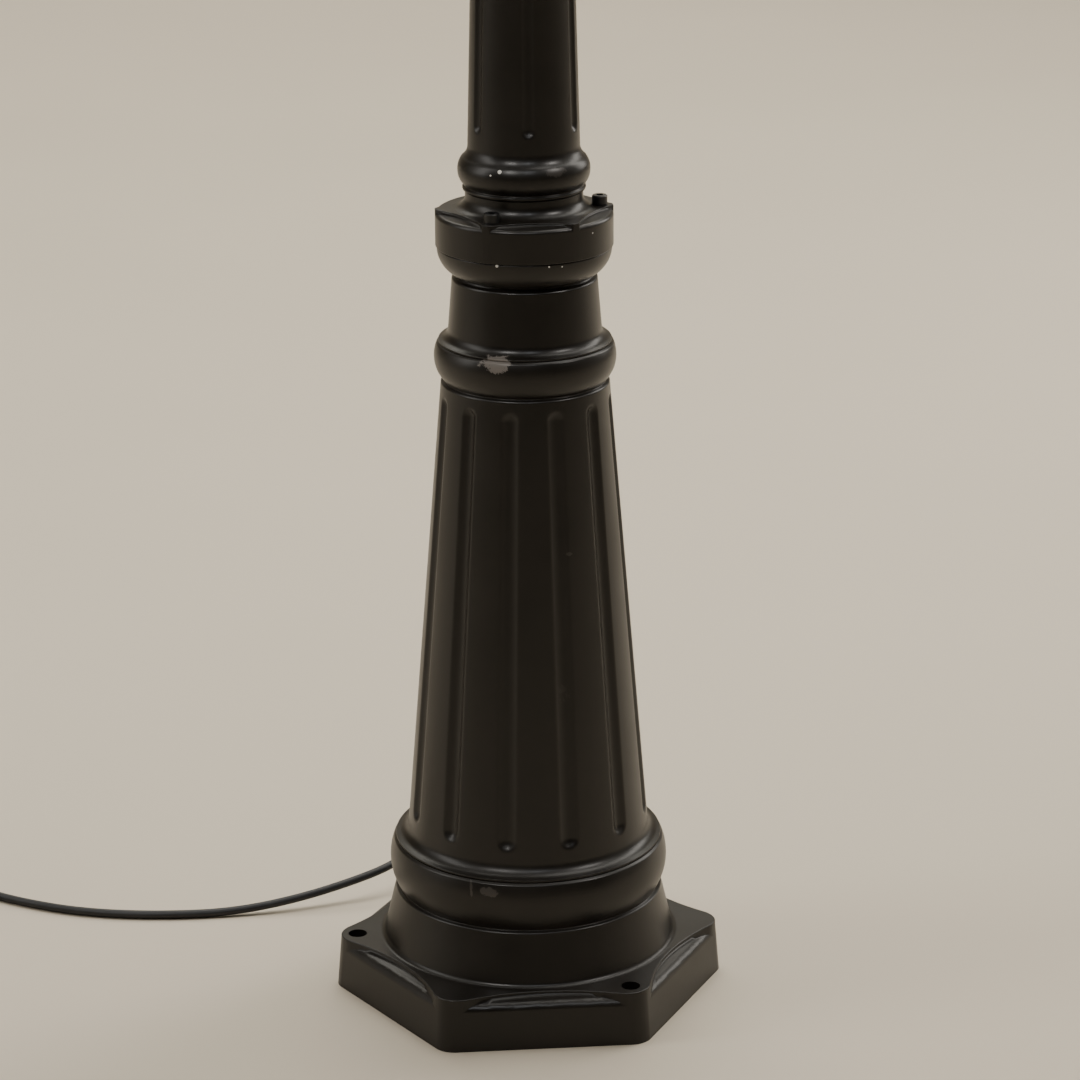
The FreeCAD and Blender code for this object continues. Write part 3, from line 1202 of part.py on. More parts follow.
def cord(label, points):
    """A round tube along a rounded path, compared with its section times its length."""
    path, radii = rounded_path(points)
    radius = number("cord_radius")
    first = path.Edges[0]
    section = Part.Wire([Part.Circle(first.valueAt(first.FirstParameter),
                                     first.tangentAt(first.FirstParameter), radius).toShape()])
    solid = path.makePipeShell([section], True, False)
    expected = math.pi * radius * radius * path.Length
    smallest = min(radii) if radii else 0
    print(f"{label}: length {path.Length:.1f}, volume ratio {solid.Volume / expected:.4f}, "
          f"smallest bend {smallest:.1f}, radii {[round(r) for r in radii]}")
    made = doc.addObject("Part::Feature", label)
    made.Shape = solid
    return node(made)


OUT = number("gland_height")
REST = number("cord_rest")
EXIT_Y = number(f"{GLAND_SEAT}+22+guard_length")
LEAD_ROUTE = [
    (0, EXIT_Y, OUT), (0, 190.8, OUT), (-11, 214.8, OUT - 5), (-36, 227.8, OUT - 15),
    (-63, 223.8, OUT - 25), (-88, 205.8, OUT - 34), (-113, 185.8, OUT - 42),
    (-150, 172, 18.5), (-192, 160, 11.5), (-236, 152.5, 6), (-272, 149.5, REST), (-306, 149.5, REST),
    (-342, 153, REST), (-378, 160.5, REST), (-412, 173, REST), (-446, 191.5, REST), (-474, 211, REST),
    (-497, 231, REST),
]
cord("power_lead", LEAD_ROUTE)

# The stored length lies in a neat coil of two layers, three turns each, then runs into the plug.
DIAMETER = 2 * number("cord_radius")
ahead = Vector(*LEAD_ROUTE[-1]) - Vector(*LEAD_ROUTE[-2])
ahead.normalize()
outer_turn, inner_turn = number("coil_outer_turn"), number("coil_inner_turn")
COIL_CENTRE = Vector(*LEAD_ROUTE[-1]) + Vector(-ahead.y, ahead.x, 0) * outer_turn
coil = new_body("stored_coil")
spin(coil, [
    ("coil_inner_turn-cord_radius", "0.3"), ("coil_outer_turn+cord_radius", "0.3"),
    ("coil_outer_turn+cord_radius", "cord_rest+3*cord_radius"),
    ("coil_inner_turn-cord_radius", "cord_rest+3*cord_radius"),
])
node(coil, Placement(Vector(COIL_CENTRE.x, COIL_CENTRE.y, 0), Rotation()))

TAIL_X = COIL_CENTRE.x - (outer_turn + inner_turn) / 2
TAIL_HEIGHT = REST + DIAMETER + 0.2
PLUG_Y = COIL_CENTRE.y - 44
cord("lead_tail", [(TAIL_X, COIL_CENTRE.y - 20, TAIL_HEIGHT), (TAIL_X, PLUG_Y, TAIL_HEIGHT)])

INNER_ROUTE = [
    (0, EXIT_Y, OUT), (0, 96, OUT), (0, 60, OUT + 18), (0, 31, OUT + 62), (0, 11, OUT + 140), (0, 0, OUT + 250),
    (0, 0, number(f"{CASE_LOW}+30")), (0, 12.5, number(f"{CASE_LOW}+62")), (0, 12.5, number(f"{CASE_LOW}+84")),
]
cord("inner_lead", INNER_ROUTE)

plug_place = Placement(Vector(TAIL_X, PLUG_Y, TAIL_HEIGHT), Rotation(X_AXIS, 90))
SLEEVE = 26
BODY = 36
sleeve = new_body("plug_sleeve")
spin(sleeve, [("0", "0"), ("cord_radius+0.9", "0"), ("cord_radius+4", f"{SLEEVE}"), ("0", f"{SLEEVE}")])
grip = new_body("plug_grip")
pad(grip, outline(new_sketch(grip, "XY_Plane", lift=f"{SLEEVE}"),
                  [("-15", "-11.5"), ("15", "-11.5"), ("15", "11.5"), ("-15", "11.5")]), f"{BODY}")
round_edges(grip, "Fillet", "6", lambda edge: edge.BoundBox.ZLength > 20)
round_edges(grip, "Fillet", "2.5", lambda edge: edge.BoundBox.ZMax < SLEEVE + 0.1)
node(fused("plug_body", sleeve, grip), plug_place)
blades = [
    block(f"plug_blade_{i + 1}", ("1.5", "6.4", "17"), (f"{x}-0.75", "0.8", f"{SLEEVE + BODY}"))
    for i, x in enumerate((-6.35, 6.35))
]
blades.append(rod("plug_earth_pin", "2.4", "19", ("0", "-7", f"{SLEEVE + BODY}")))
node(group("plug_pins", blades), plug_place)

# ---------------------------------------------------------------- checks and export

doc.recompute()
for thing in doc.Objects:
    if "Invalid" in thing.State or "Error" in thing.State:
        raise RuntimeError(f"{thing.Label} failed: {thing.State}")
os.makedirs("parts", exist_ok=True)
for thing in NODES:
    if thing.Shape.isNull() or not thing.Shape.isValid():
        raise RuntimeError(f"{thing.Label} has no valid shape")
    thing.Shape.exportStep(f"parts/{thing.Label}.step")
    print(f"{thing.Label}: {len(thing.Shape.Solids)} solid(s), {thing.Shape.Volume / 1000:.1f} cm3")
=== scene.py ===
import bmesh
import bpy
import json
import math
from mathutils import Matrix, Vector


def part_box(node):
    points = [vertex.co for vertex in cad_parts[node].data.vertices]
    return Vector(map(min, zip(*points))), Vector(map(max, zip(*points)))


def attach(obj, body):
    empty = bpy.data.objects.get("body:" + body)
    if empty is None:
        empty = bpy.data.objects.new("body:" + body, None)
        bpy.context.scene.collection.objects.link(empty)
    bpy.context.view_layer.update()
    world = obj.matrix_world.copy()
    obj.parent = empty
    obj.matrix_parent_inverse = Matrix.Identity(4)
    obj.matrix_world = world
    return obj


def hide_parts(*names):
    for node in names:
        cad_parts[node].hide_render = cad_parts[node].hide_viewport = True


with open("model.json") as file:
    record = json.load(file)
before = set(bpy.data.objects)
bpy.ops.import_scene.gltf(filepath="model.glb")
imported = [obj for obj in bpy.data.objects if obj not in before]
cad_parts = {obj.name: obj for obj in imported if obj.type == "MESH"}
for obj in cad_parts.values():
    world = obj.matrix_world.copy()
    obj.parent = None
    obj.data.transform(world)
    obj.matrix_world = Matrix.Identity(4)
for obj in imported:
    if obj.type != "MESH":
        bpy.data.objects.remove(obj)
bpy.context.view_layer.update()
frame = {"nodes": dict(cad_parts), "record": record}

bodyOfNode = {n: body for body, members in frame["record"]["behaviour"]["bodies"].items() for n in members}

# camera, floor and light
camera = {"place": (-0.25863, -3.01448, 1.41993), "turn": (71.3803, 0.2932, -5.2199),
          "lens": 126.53, "film": 36.0}
studio = {"wall": (0.690, 0.620, 0.480), "floor": (0.735, 0.655, 0.535), "floorSize": 30.0,
          "wallDistance": 9.0, "wallHeight": 12.0, "wallBend": 3.0, "airStrength": 0.66}
softLights = [  # name, place, aimed at, size, watts, warmth
    ("overhead", (0.5, 0.9, 4.4), (0, 0, 0.4), (3.4, 2.6), 120.0, (1.0, 0.965, 0.90)),
    ("rightBack", (3.2, 1.9, 2.4), (0, 0, 0.4), (1.4, 3.0), 66.0, (1.0, 0.96, 0.89)),
    ("leftSide", (-3.6, -0.2, 2.4), (0, 0, 0.4), (1.4, 3.0), 48.0, (1.0, 0.97, 0.92)),
    ("farWash", (0.0, 5.0, 4.5), (0, 4.8, 0.0), (6.0, 3.0), 190.0, (1.0, 0.97, 0.88)),
    ("ceilingLeft", (-2.2, -3.3, 4.4), (0, 0, 0.4), (0.8, 0.8), 90.0, (1.0, 0.97, 0.93)),
    ("ceilingMiddle", (0.3, -4.0, 4.6), (0, 0, 0.4), (0.7, 0.7), 34.0, (0.94, 0.97, 1.0)),
    ("ceilingRight", (3.5, -1.8, 4.4), (0, 0, 0.4), (0.8, 0.8), 90.0, (1.0, 0.95, 0.90)),
]


def makeCamera():
    data = bpy.data.cameras.new("viewCamera")
    data.lens, data.sensor_width = camera["lens"], camera["film"]
    data.clip_start, data.clip_end = 0.05, 100.0
    item = bpy.data.objects.new("viewCamera", data)
    item.location = camera["place"]
    item.rotation_euler = [math.radians(a) for a in camera["turn"]]
    bpy.context.scene.collection.objects.link(item)
    bpy.context.scene.camera = item


def makeStudio():
    work = bmesh.new()
    bmesh.ops.create_grid(work, x_segments=1, y_segments=1, size=studio["floorSize"] / 2)
    back = [e for e in work.edges if all(v.co.y > 0 for v in e.verts)]
    for e in back:
        for v in e.verts:
            v.co.y = studio["wallDistance"]
    raised = bmesh.ops.extrude_edge_only(work, edges=back)["geom"]
    for v in [g for g in raised if isinstance(g, bmesh.types.BMVert)]:
        v.co.z += studio["wallHeight"]
    bend = [e for e in work.edges if all(abs(v.co.z) < 1e-6 and v.co.y > 8.0 for v in e.verts)]
    bmesh.ops.bevel(work, geom=bend, affect="EDGES", offset=studio["wallBend"], segments=24, profile=0.5,
                    material=-1)
    floor = meshPiece("studioFloor", work, smooth=True)
    floor.data.materials.append(paintedFloor())
    spared = bpy.data.collections.new("notTheFloor")  # the three ceiling lamps only touch the object
    spared.objects.link(floor)
    spared.collection_objects[0].light_linking.link_state = "EXCLUDE"
    for name, place, aim, size, watts, colour in softLights:
        data = bpy.data.lights.new(name, "AREA")
        data.shape, data.size, data.size_y = "RECTANGLE", size[0], size[1]
        data.energy, data.color = watts, colour
        lamp = bpy.data.objects.new(name, data)
        lamp.location = place
        if name.startswith("ceiling"):
            lamp.light_linking.receiver_collection = spared
        lamp.rotation_euler = (Vector(aim) - Vector(place)).to_track_quat("-Z", "Y").to_euler()
        bpy.context.scene.collection.objects.link(lamp)
    world = bpy.data.worlds.new("studioAir")
    bpy.context.scene.world = world
    world.use_nodes = True
    tree = world.node_tree
    air = tree.nodes["Background"]
    turn = node(tree, "SeparateXYZ", {"Vector": node(tree, "TexCoord").outputs["Generated"]})
    sky = ramp(tree, sums(tree, "MULTIPLY_ADD", turn.outputs["Y"], 0.5, third=0.5),
               [(0.15, (0.035, 0.033, 0.030)), (0.62, (0.55, 0.515, 0.45)), (0.9, (0.95, 0.90, 0.78))])
    tree.links.new(sky, air.inputs["Color"])
    air.inputs["Strength"].default_value = studio["airStrength"]


# mesh helpers
def meshPiece(name, work, smooth=True, crease=None):
    mesh = bpy.data.meshes.new(name)
    work.to_mesh(mesh)
    work.free()
    item = bpy.data.objects.new(name, mesh)
    bpy.context.scene.collection.objects.link(item)
    if smooth:
        mesh.polygons.foreach_set("use_smooth", [True] * len(mesh.polygons))
        if crease:
            mesh.set_sharp_from_angle(angle=math.radians(crease))
    return item


def mm(*values):
    return [v * 0.001 for v in values]


def arcPoints(start, end, radius, coarse=7.0):
    middle, chord = (start + end) / 2, end - start
    reach = math.sqrt(max(radius * radius - chord.length_squared / 4, 0.0))
    left = Vector((-chord.y, chord.x)).normalized()
    centre = middle + left * reach * (1 if radius > 0 else -1)
    first = math.atan2(start.y - centre.y, start.x - centre.x)
    sweep = math.atan2(end.y - centre.y, end.x - centre.x) - first
    sweep = (sweep + math.pi) % (2 * math.pi) - math.pi
    count = max(2, math.ceil(abs(math.degrees(sweep)) / coarse))
    angles = [first + sweep * i / count for i in range(1, count + 1)]
    return [centre + Vector((math.cos(a), math.sin(a))) * abs(radius) for a in angles]


def softened(points, cut, closed=False):
    out = []
    for i, here in enumerate(points):
        if not closed and i in (0, len(points) - 1):
            out.append(here)
            continue
        before, after = points[i - 1], points[(i + 1) % len(points)]
        coming, going = here - before, after - here
        if coming.length < 1e-7 or going.length < 1e-7 or coming.angle(going) < math.radians(22):
            out.append(here)
            continue
        trim = min(cut, 0.4 * coming.length, 0.4 * going.length)
        enter, leave = here - coming.normalized() * trim, here + going.normalized() * trim
        for t in (0.0, 0.25, 0.5, 0.75, 1.0):
            out.append(enter.lerp(here, t).lerp(here.lerp(leave, t), t))
    return out


def profile(corners, cut=0.6, coarse=7.0, longest=None):
    points = []
    for corner in corners:  # radius and height, mm, and for an arc that leads here its signed radius
        spot = Vector(corner[:2])
        if len(corner) == 3:
            points += arcPoints(points[-1], spot, corner[2], coarse)
        else:
            points.append(spot)
    points = softened(points, cut)
    if longest:
        filled = [points[0]]
        for spot in points[1:]:
            gap = (spot - filled[-1]).length
            start = filled[-1]
            parts = math.ceil(gap / longest)
            filled += [start.lerp(spot, i / parts) for i in range(1, parts)]
            filled.append(spot)
        points = filled
    return [p * 0.001 for p in points]


def turnedMesh(points, steps, closed=False):
    work = bmesh.new()
    verts = [work.verts.new((p.x, 0, p.y)) for p in points]
    edges = [work.edges.new(pair) for pair in zip(verts, verts[1:])]
    if closed:
        edges.append(work.edges.new((verts[-1], verts[0])))
    bmesh.ops.spin(work, geom=verts + edges, cent=(0, 0, 0), axis=(0, 0, 1), dvec=(0, 0, 0),
                   angle=2 * math.pi, steps=steps, use_merge=True, use_duplicate=False)
    bmesh.ops.remove_doubles(work, verts=work.verts, dist=1e-7)
    bmesh.ops.recalc_face_normals(work, faces=work.faces)
    return work


def facing(side, out=0.0):
    head = headHeight()
    turned = Matrix.Rotation(math.radians(180 if side == "rear" else 0), 4, "Z")
    upright = Matrix.Rotation(math.radians(90), 4, "X")
    return Matrix.Translation((0, 0, head)) @ turned @ upright @ Matrix.Translation((0, 0, out))


def headHeight():
    low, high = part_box("front_dial")
    return (low.z + high.z) / 2


def finish(item, material, body="post", replaces=()):
    item.data.materials.clear()
    item.data.materials.append(material)
    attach(item, body)
    if replaces:
        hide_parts(*replaces)
    return item


def refined(node, material, crease=32.0, bevel=0.0):
    work = bmesh.new()
    work.from_mesh(frame["nodes"][node].data)
    bmesh.ops.remove_doubles(work, verts=work.verts, dist=1e-6)
    bmesh.ops.dissolve_limit(work, angle_limit=math.radians(0.3), verts=work.verts, edges=work.edges)
    name = "".join(w.capitalize() if i else w for i, w in enumerate(node.split("_")))
    item = meshPiece(name, work, crease=crease)
    if bevel:
        soft = item.modifiers.new("softEdges", "BEVEL")
        soft.width, soft.segments, soft.limit_method = bevel, 2, "ANGLE"
        soft.angle_limit = math.radians(crease)
        soft.harden_normals = True
    return finish(item, material, bodyOfNode[node], (node,))


# materials
def material(name, colour, rough, metal=0.0, specular=0.5):
    item = bpy.data.materials.new(name)
    item.use_nodes = True
    shader = item.node_tree.nodes["Principled BSDF"]
    shader.inputs["Base Color"].default_value = (*colour, 1)
    shader.inputs["Roughness"].default_value = rough
    shader.inputs["Metallic"].default_value = metal
    shader.inputs["Specular IOR Level"].default_value = specular
    return item, item.node_tree, shader


def node(tree, kind, inputs=(), **settings):
    made = tree.nodes.new("ShaderNode" + kind)
    for key, value in settings.items():
        setattr(made, key, value)
    for key, value in dict(inputs).items():
        if hasattr(value, "node"):
            tree.links.new(value, made.inputs[key])
        else:
            made.inputs[key].default_value = value
    return made


def objectPlace(tree):
    return node(tree, "TexCoord").outputs["Object"]


def noise(tree, where, scale, detail=3.0, rough=0.55):
    made = node(tree, "TexNoise", {"Vector": where, "Scale": scale, "Detail": detail, "Roughness": rough})
    return made.outputs["Fac"]


def ramp(tree, fac, stops):
    made = node(tree, "ValToRGB", {"Fac": fac})
    while len(made.color_ramp.elements) < len(stops):
        made.color_ramp.elements.new(0.5)
    for element, (place, colour) in zip(made.color_ramp.elements, stops):
        element.position = place
        element.color = (*colour, 1) if len(colour) == 3 else colour
    return made.outputs["Color"]


def mix(tree, fac, first, second):
    made = tree.nodes.new("ShaderNodeMix")
    made.data_type = "RGBA"
    for socket, value in ((made.inputs[0], fac), (made.inputs[6], first), (made.inputs[7], second)):
        if hasattr(value, "node"):
            tree.links.new(value, socket)
        else:
            socket.default_value = value
    return made.outputs[2]


def sums(tree, kind, a, b=0.0, clamp=False, third=0.0):
    made = tree.nodes.new("ShaderNodeMath")
    made.operation, made.use_clamp = kind, clamp
    for socket, value in ((made.inputs[0], a), (made.inputs[1], b), (made.inputs[2], third)):
        if hasattr(value, "node"):
            tree.links.new(value, socket)
        else:
            socket.default_value = value
    return made.outputs[0]


def bumped(tree, shader, height, strength, distance):
    made = node(tree, "Bump", {"Height": height, "Strength": strength, "Distance": distance})
    tree.links.new(made.outputs["Normal"], shader.inputs["Normal"])


coat = {"dark": (0.0040, 0.0030, 0.0020), "light": (0.0078, 0.0060, 0.0042), "chip": (0.60, 0.58, 0.54),
        "scuff": (0.150, 0.134, 0.120), "roughLow": 0.30, "roughHigh": 0.39, "gloss": 0.40,
        "raggedScale": 120.0, "raggedReach": 2.4, "raggedShift": -1.25, "scuffEdge": 0.30, "chipEdge": 0.16}
marks = [  # place on the casting, half sizes, how strong
    ((-0.0300, -0.0668, 0.5745), (0.0190, 0.0140, 0.0085), 0.85),  # grey smear on the upper ring
    ((0.0220, -0.0480, 0.7275), (0.0150, 0.0100, 0.0050), 0.16),   # rubbed patch on the bead
    ((-0.0422, -0.1105, 0.1286), (0.0110, 0.0110, 0.0060), 0.22),  # rubbed patches on the lower ring
    ((-0.0571, -0.1031, 0.1290), (0.0016, 0.0100, 0.0120), 0.20),
    ((0.0290, -0.0756, 0.4125), (0.0035, 0.0100, 0.0020), 0.14),   # faint touches on the cone
    ((0.0240, -0.0905, 0.2950), (0.0120, 0.0120, 0.0100), 0.05),
]
chips = [  # place and radius
    ((-0.0236, -0.0468, 0.7283), 0.0024), ((-0.0308, -0.0443, 0.7250), 0.0012),
    ((0.0290, -0.0762, 0.4121), 0.0009), ((0.0509, -0.0527, 0.6775), 0.0010),
    ((-0.0282, -0.0667, 0.6559), 0.0019), ((0.0138, -0.0711, 0.6550), 0.0011),
    ((0.0247, -0.0680, 0.6541), 0.0010), ((0.0090, -0.0789, 0.4467), 0.0007),
]


def blob(tree, where, place, halves):
    moved = node(tree, "Mapping", {"Vector": where, "Location": [-p / s for p, s in zip(place, halves)],
                                   "Scale": [1 / s for s in halves]}, vector_type="POINT").outputs["Vector"]
    far = node(tree, "VectorMath", {0: moved}, operation="LENGTH").outputs["Value"]
    return sums(tree, "SUBTRACT", 1.0, far, clamp=True)


def powderCoat(marked=True):
    item, tree, shader = material("powderCoat" if marked else "powderCoatPlain", coat["dark"], 0.35,
                                  specular=coat["gloss"])
    where = objectPlace(tree)
    broad, fine = noise(tree, where, 14.0, 4.0), noise(tree, where, 420.0, 2.0)
    colour = ramp(tree, broad, [(0.35, coat["dark"]), (0.70, coat["light"])])
    spread = {"From Min": 0.3, "From Max": 0.7, "To Min": coat["roughLow"], "To Max": coat["roughHigh"]}
    rough = node(tree, "MapRange", {"Value": broad, **spread}).outputs["Result"]
    if marked:
        ragged = noise(tree, where, coat["raggedScale"], 6.0, 0.75)
        for place, halves, strength in marks:
            near = blob(tree, where, place, halves)
            shifted = sums(tree, "ADD", near, coat["raggedShift"])
            uneven = sums(tree, "MULTIPLY_ADD", ragged, coat["raggedReach"], third=shifted)
            worn = sums(tree, "GREATER_THAN", uneven, coat["scuffEdge"])
            inside = sums(tree, "GREATER_THAN", near, 0.01)
            patch = sums(tree, "MULTIPLY", worn, sums(tree, "MULTIPLY", strength, inside))
            colour = mix(tree, patch, colour, (*coat["scuff"], 1))
        for place, radius in chips:
            near = blob(tree, where, place, (radius,) * 3)
            torn = sums(tree, "GREATER_THAN", sums(tree, "MULTIPLY", near, ragged), coat["chipEdge"])
            colour = mix(tree, torn, colour, (*coat["chip"], 1))
    dust = sums(tree, "GREATER_THAN", noise(tree, where, 900.0, 1.0), 0.83)
    colour = mix(tree, sums(tree, "MULTIPLY", dust, 0.35), colour, (*coat["scuff"], 1))
    tree.links.new(colour, shader.inputs["Base Color"])
    tree.links.new(rough, shader.inputs["Roughness"])
    coarse = sums(tree, "MULTIPLY", noise(tree, where, 90.0), 0.65)
    height = sums(tree, "ADD", sums(tree, "MULTIPLY", fine, 0.35), coarse)
    bumped(tree, shader, height, 0.10, 0.0006)
    return item


def paintedFloor():
    item, tree, shader = material("studioPaint", studio["floor"], 0.62, specular=0.25)
    where = objectPlace(tree)
    high = node(tree, "SeparateXYZ", {"Vector": where}).outputs["Z"]
    rise = node(tree, "MapRange", {"Value": high, "From Min": 0.0, "From Max": 4.0}).outputs["Result"]
    tint = mix(tree, rise, (*studio["floor"], 1), (*studio["wall"], 1))
    shade = ramp(tree, noise(tree, where, 1.3, 2.0), [(0.3, (0.97, 0.97, 0.97)), (0.7, (1, 1, 1))])
    both = tree.nodes.new("ShaderNodeMix")
    both.data_type, both.blend_type = "RGBA", "MULTIPLY"
    both.inputs[0].default_value = 1.0
    tree.links.new(tint, both.inputs[6])
    tree.links.new(shade, both.inputs[7])
    tree.links.new(both.outputs[2], shader.inputs["Base Color"])
    return item


def plainFinish(name, colour, rough, metal=0.0, grain=260.0, depth=0.0002, spread=0.25, specular=0.5):
    item, tree, shader = material(name, colour, rough, metal, specular)
    where = objectPlace(tree)
    cloud = noise(tree, where, grain * 0.15, 3.0)
    dark, light = [c * (1 - spread) for c in colour], [min(1.0, c * (1 + spread)) for c in colour]
    tree.links.new(ramp(tree, cloud, [(0.3, dark), (0.7, light)]), shader.inputs["Base Color"])
    change = node(tree, "MapRange", {"Value": cloud, "To Min": rough * 0.85,
                                     "To Max": min(1.0, rough * 1.15)})
    tree.links.new(change.outputs["Result"], shader.inputs["Roughness"])
    bumped(tree, shader, noise(tree, where, grain), 0.25, depth)
    return item


def clearGlass():
    item, tree, shader = material("lensGlass", (0.96, 0.98, 0.97), 0.02)
    shader.inputs["Transmission Weight"].default_value = 1.0
    shader.inputs["IOR"].default_value = 1.45
    where = objectPlace(tree)
    bumped(tree, shader, noise(tree, where, 30.0), 0.02, 0.0002)
    return item


def leadJacket():
    item, tree, shader = material("leadJacket", (0.010, 0.010, 0.011), 0.46, specular=0.45)
    where = objectPlace(tree)
    cloud = noise(tree, where, 60.0)
    tree.links.new(ramp(tree, cloud, [(0.35, (0.006, 0.006, 0.007)), (0.7, (0.014, 0.014, 0.015))]),
                   shader.inputs["Base Color"])
    bumped(tree, shader, noise(tree, where, 700.0, 2.0), 0.2, 0.0002)
    return item


# Finishes, one for each slot of the record.
slotOfNode = {part["node"]: part["material_slot"] for part in frame["record"]["subparts"]}
finishes = {
    "black_powder_coat": powderCoat(False),
    "black_screws": plainFinish("blackOxide", (0.0045, 0.0045, 0.0048), 0.36, 0.0, 380.0, 0.0001),
    "zinc_steel": plainFinish("zincSteel", (0.55, 0.55, 0.54), 0.34, 1.0, 500.0, 0.0001, 0.12),
    "clock_brass": plainFinish("clockBrass", (0.70, 0.48, 0.20), 0.26, 1.0, 500.0, 0.0001, 0.12),
    "dial_white": plainFinish("opalDial", (0.80, 0.78, 0.71), 0.45, 0.0, 120.0, 0.0001, 0.02),
    "hand_black": plainFinish("handBlack", (0.009, 0.009, 0.009), 0.38, 0.0, 300.0, 0.0001),
    "clear_glass": clearGlass(),
    "black_rubber": plainFinish("blackRubber", (0.012, 0.012, 0.012), 0.75, 0.0, 600.0, 0.0003),
    "lead_jacket": leadJacket(),
    "black_nylon": plainFinish("blackNylon", (0.012, 0.012, 0.012), 0.5, 0.0, 500.0, 0.0002),
    "pin_brass": plainFinish("pinBrass", (0.74, 0.56, 0.28), 0.2, 1.0, 400.0, 0.0001, 0.1),
    "grey_plastic": plainFinish("greyPlastic", (0.38, 0.38, 0.37), 0.5, 0.0, 500.0, 0.0002, 0.06),
    "light_strip": plainFinish("lampDiffuser", (0.90, 0.87, 0.78), 0.35, 0.0, 300.0, 0.0001, 0.03),
}
castCoat = powderCoat(True)
makeCamera()
makeStudio()
print("camera, floor and lights")

# the power lead
lead = {"thick": 0.0075, "outer": 0.050, "inner": 0.034, "layer": 0.0077, "exit": (0.0, 0.1672, 0.068)}
leadRoute = [
    (0, 167.2, 68), (0, 190.8, 68), (-11, 214.8, 63), (-36, 227.8, 53), (-63, 223.8, 43), (-88, 205.8, 34),
    (-113, 185.8, 26), (-150, 172, 18.5), (-192, 160, 11.5), (-236, 152.5, 6), (-272, 149.5, 4),
    (-306, 149.5, 4),
    (-342, 153, 4), (-378, 160.5, 4), (-412, 173, 4), (-446, 191.5, 4), (-474, 211, 4), (-497, 231, 4),
]


def coilPoints():
    last, before = Vector(leadRoute[-1]) * 0.001, Vector(leadRoute[-2]) * 0.001
    ahead = (last - before).normalized()
    centre = last + Vector((-ahead.y, ahead.x, 0)) * lead["outer"]
    first = math.degrees(math.atan2(last.y - centre.y, last.x - centre.x))
    step, spots = 24.0, []
    turns = 3 * 360 + 360 + (180 - first) % 360  # three turns in, one above, then out to the plug
    count = int(turns // step)
    for i in range(1, count + 1):
        angle = i * turns / count
        if angle <= 1080:
            level, radius = 0.0, lead["outer"] - (lead["outer"] - lead["inner"]) * max(0.0, angle - 180) / 900
        else:
            level = min(1.0, (angle - 1080) / 150)
            out = max(0.0, angle - 1080 - 300) / (turns - 1380)
            radius = lead["inner"] + (0.042 - lead["inner"]) * out
        turn = math.radians(first + angle)
        spots.append((centre.x + radius * math.cos(turn), centre.y + radius * math.sin(turn),
                      0.004 + lead["layer"] * level))
    return spots


def makeLead():
    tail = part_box("lead_tail")
    tailX, tailZ = (tail[0].x + tail[1].x) / 2, (tail[0].z + tail[1].z) / 2
    spots = [tuple(mm(*p)) for p in leadRoute] + coilPoints()
    spots += [(tailX, tail[0].y + 0.012, tailZ), (tailX, tail[0].y, tailZ)]
    data = bpy.data.curves.new("powerLead", "CURVE")
    data.dimensions, data.resolution_u = "3D", 6
    data.bevel_depth, data.bevel_resolution, data.use_fill_caps = lead["thick"] / 2, 5, True
    line = data.splines.new("NURBS")
    line.points.add(len(spots) - 1)
    for point, spot in zip(line.points, spots):
        point.co = (*spot, 1)
    line.order_u = 3
    line.use_endpoint_u = True
    item = bpy.data.objects.new("powerLead", data)
    bpy.context.scene.collection.objects.link(item)
    finish(item, finishes["lead_jacket"], "post", ("power_lead", "stored_coil", "lead_tail"))
    bare = bpy.data.curves.new("leadLine", "CURVE")
    bare.dimensions, bare.resolution_u = "3D", 6
    copy = bare.splines.new("NURBS")
    copy.points.add(len(spots) - 1)
    for point, spot in zip(copy.points, spots):
        point.co = (*spot, 1)
    copy.order_u = 3
    copy.use_endpoint_u = True
    holder = bpy.data.objects.new("leadLine", bare)
    bpy.context.scene.collection.objects.link(holder)
    bpy.context.view_layer.update()
    mesh = bpy.data.meshes.new_from_object(holder)
    ends = [[mesh.vertices[v].co for v in e.vertices] for e in mesh.edges]
    length = sum((a - b).length for a, b in ends)
    bpy.data.objects.remove(holder)
    print("lead length", round(length, 3))
    return item, length


powerLead, leadLength = makeLead()

# The two castings: turned bodies with their flutes pressed in, on the foot and the flange of the CAD.

pedestalShape = {
    "steps": 480, "flutes": 12, "phase": 15.0, "start": 160.0, "end": 532.0, "half": (8.0, 6.9), "depth": 3.3,
    "cut": 46.02,
    "lower": [(130.0, 44.6), (129.0, 46.0), (124.4, 50.2, -4.8), (115.0, 89.4), (113.2, 91.6, 2.3),
              (111.9, 92.4), (112.0, 93.2), (119.0, 118.0, 44.0), (115.6, 134.6, 44.0), (113.7, 136.2),
              (112.6, 136.3), (113.6, 138.6, 1.5), (111.8, 139.0), (102.8, 149.2, -10.6)],
    "cone": (102.8, 149.2, 70.3, 540.2),
    "upper": [(68.8, 542.5, 2.4), (67.7, 543.3), (67.9, 544.2), (75.6, 562.8, 27.0), (73.3, 574.6, 27.0),
              (71.6, 575.9), (70.9, 576.0), (71.6, 577.9, 1.3), (70.2, 578.4), (63.6, 586.6, -8.6),
              (60.2, 628.4), (58.8, 630.9, 2.6), (56.6, 633.2, -3.0), (72.1, 656.0, 24.8), (71.4, 656.9)],
    "inside": [(44.1, 656.9), (44.1, 641.0), (50.0, 641.0), (50.0, 577.0), (60.0, 534.0), (92.8, 146.6),
               (107.2, 90.0), (107.2, 44.6)],
}
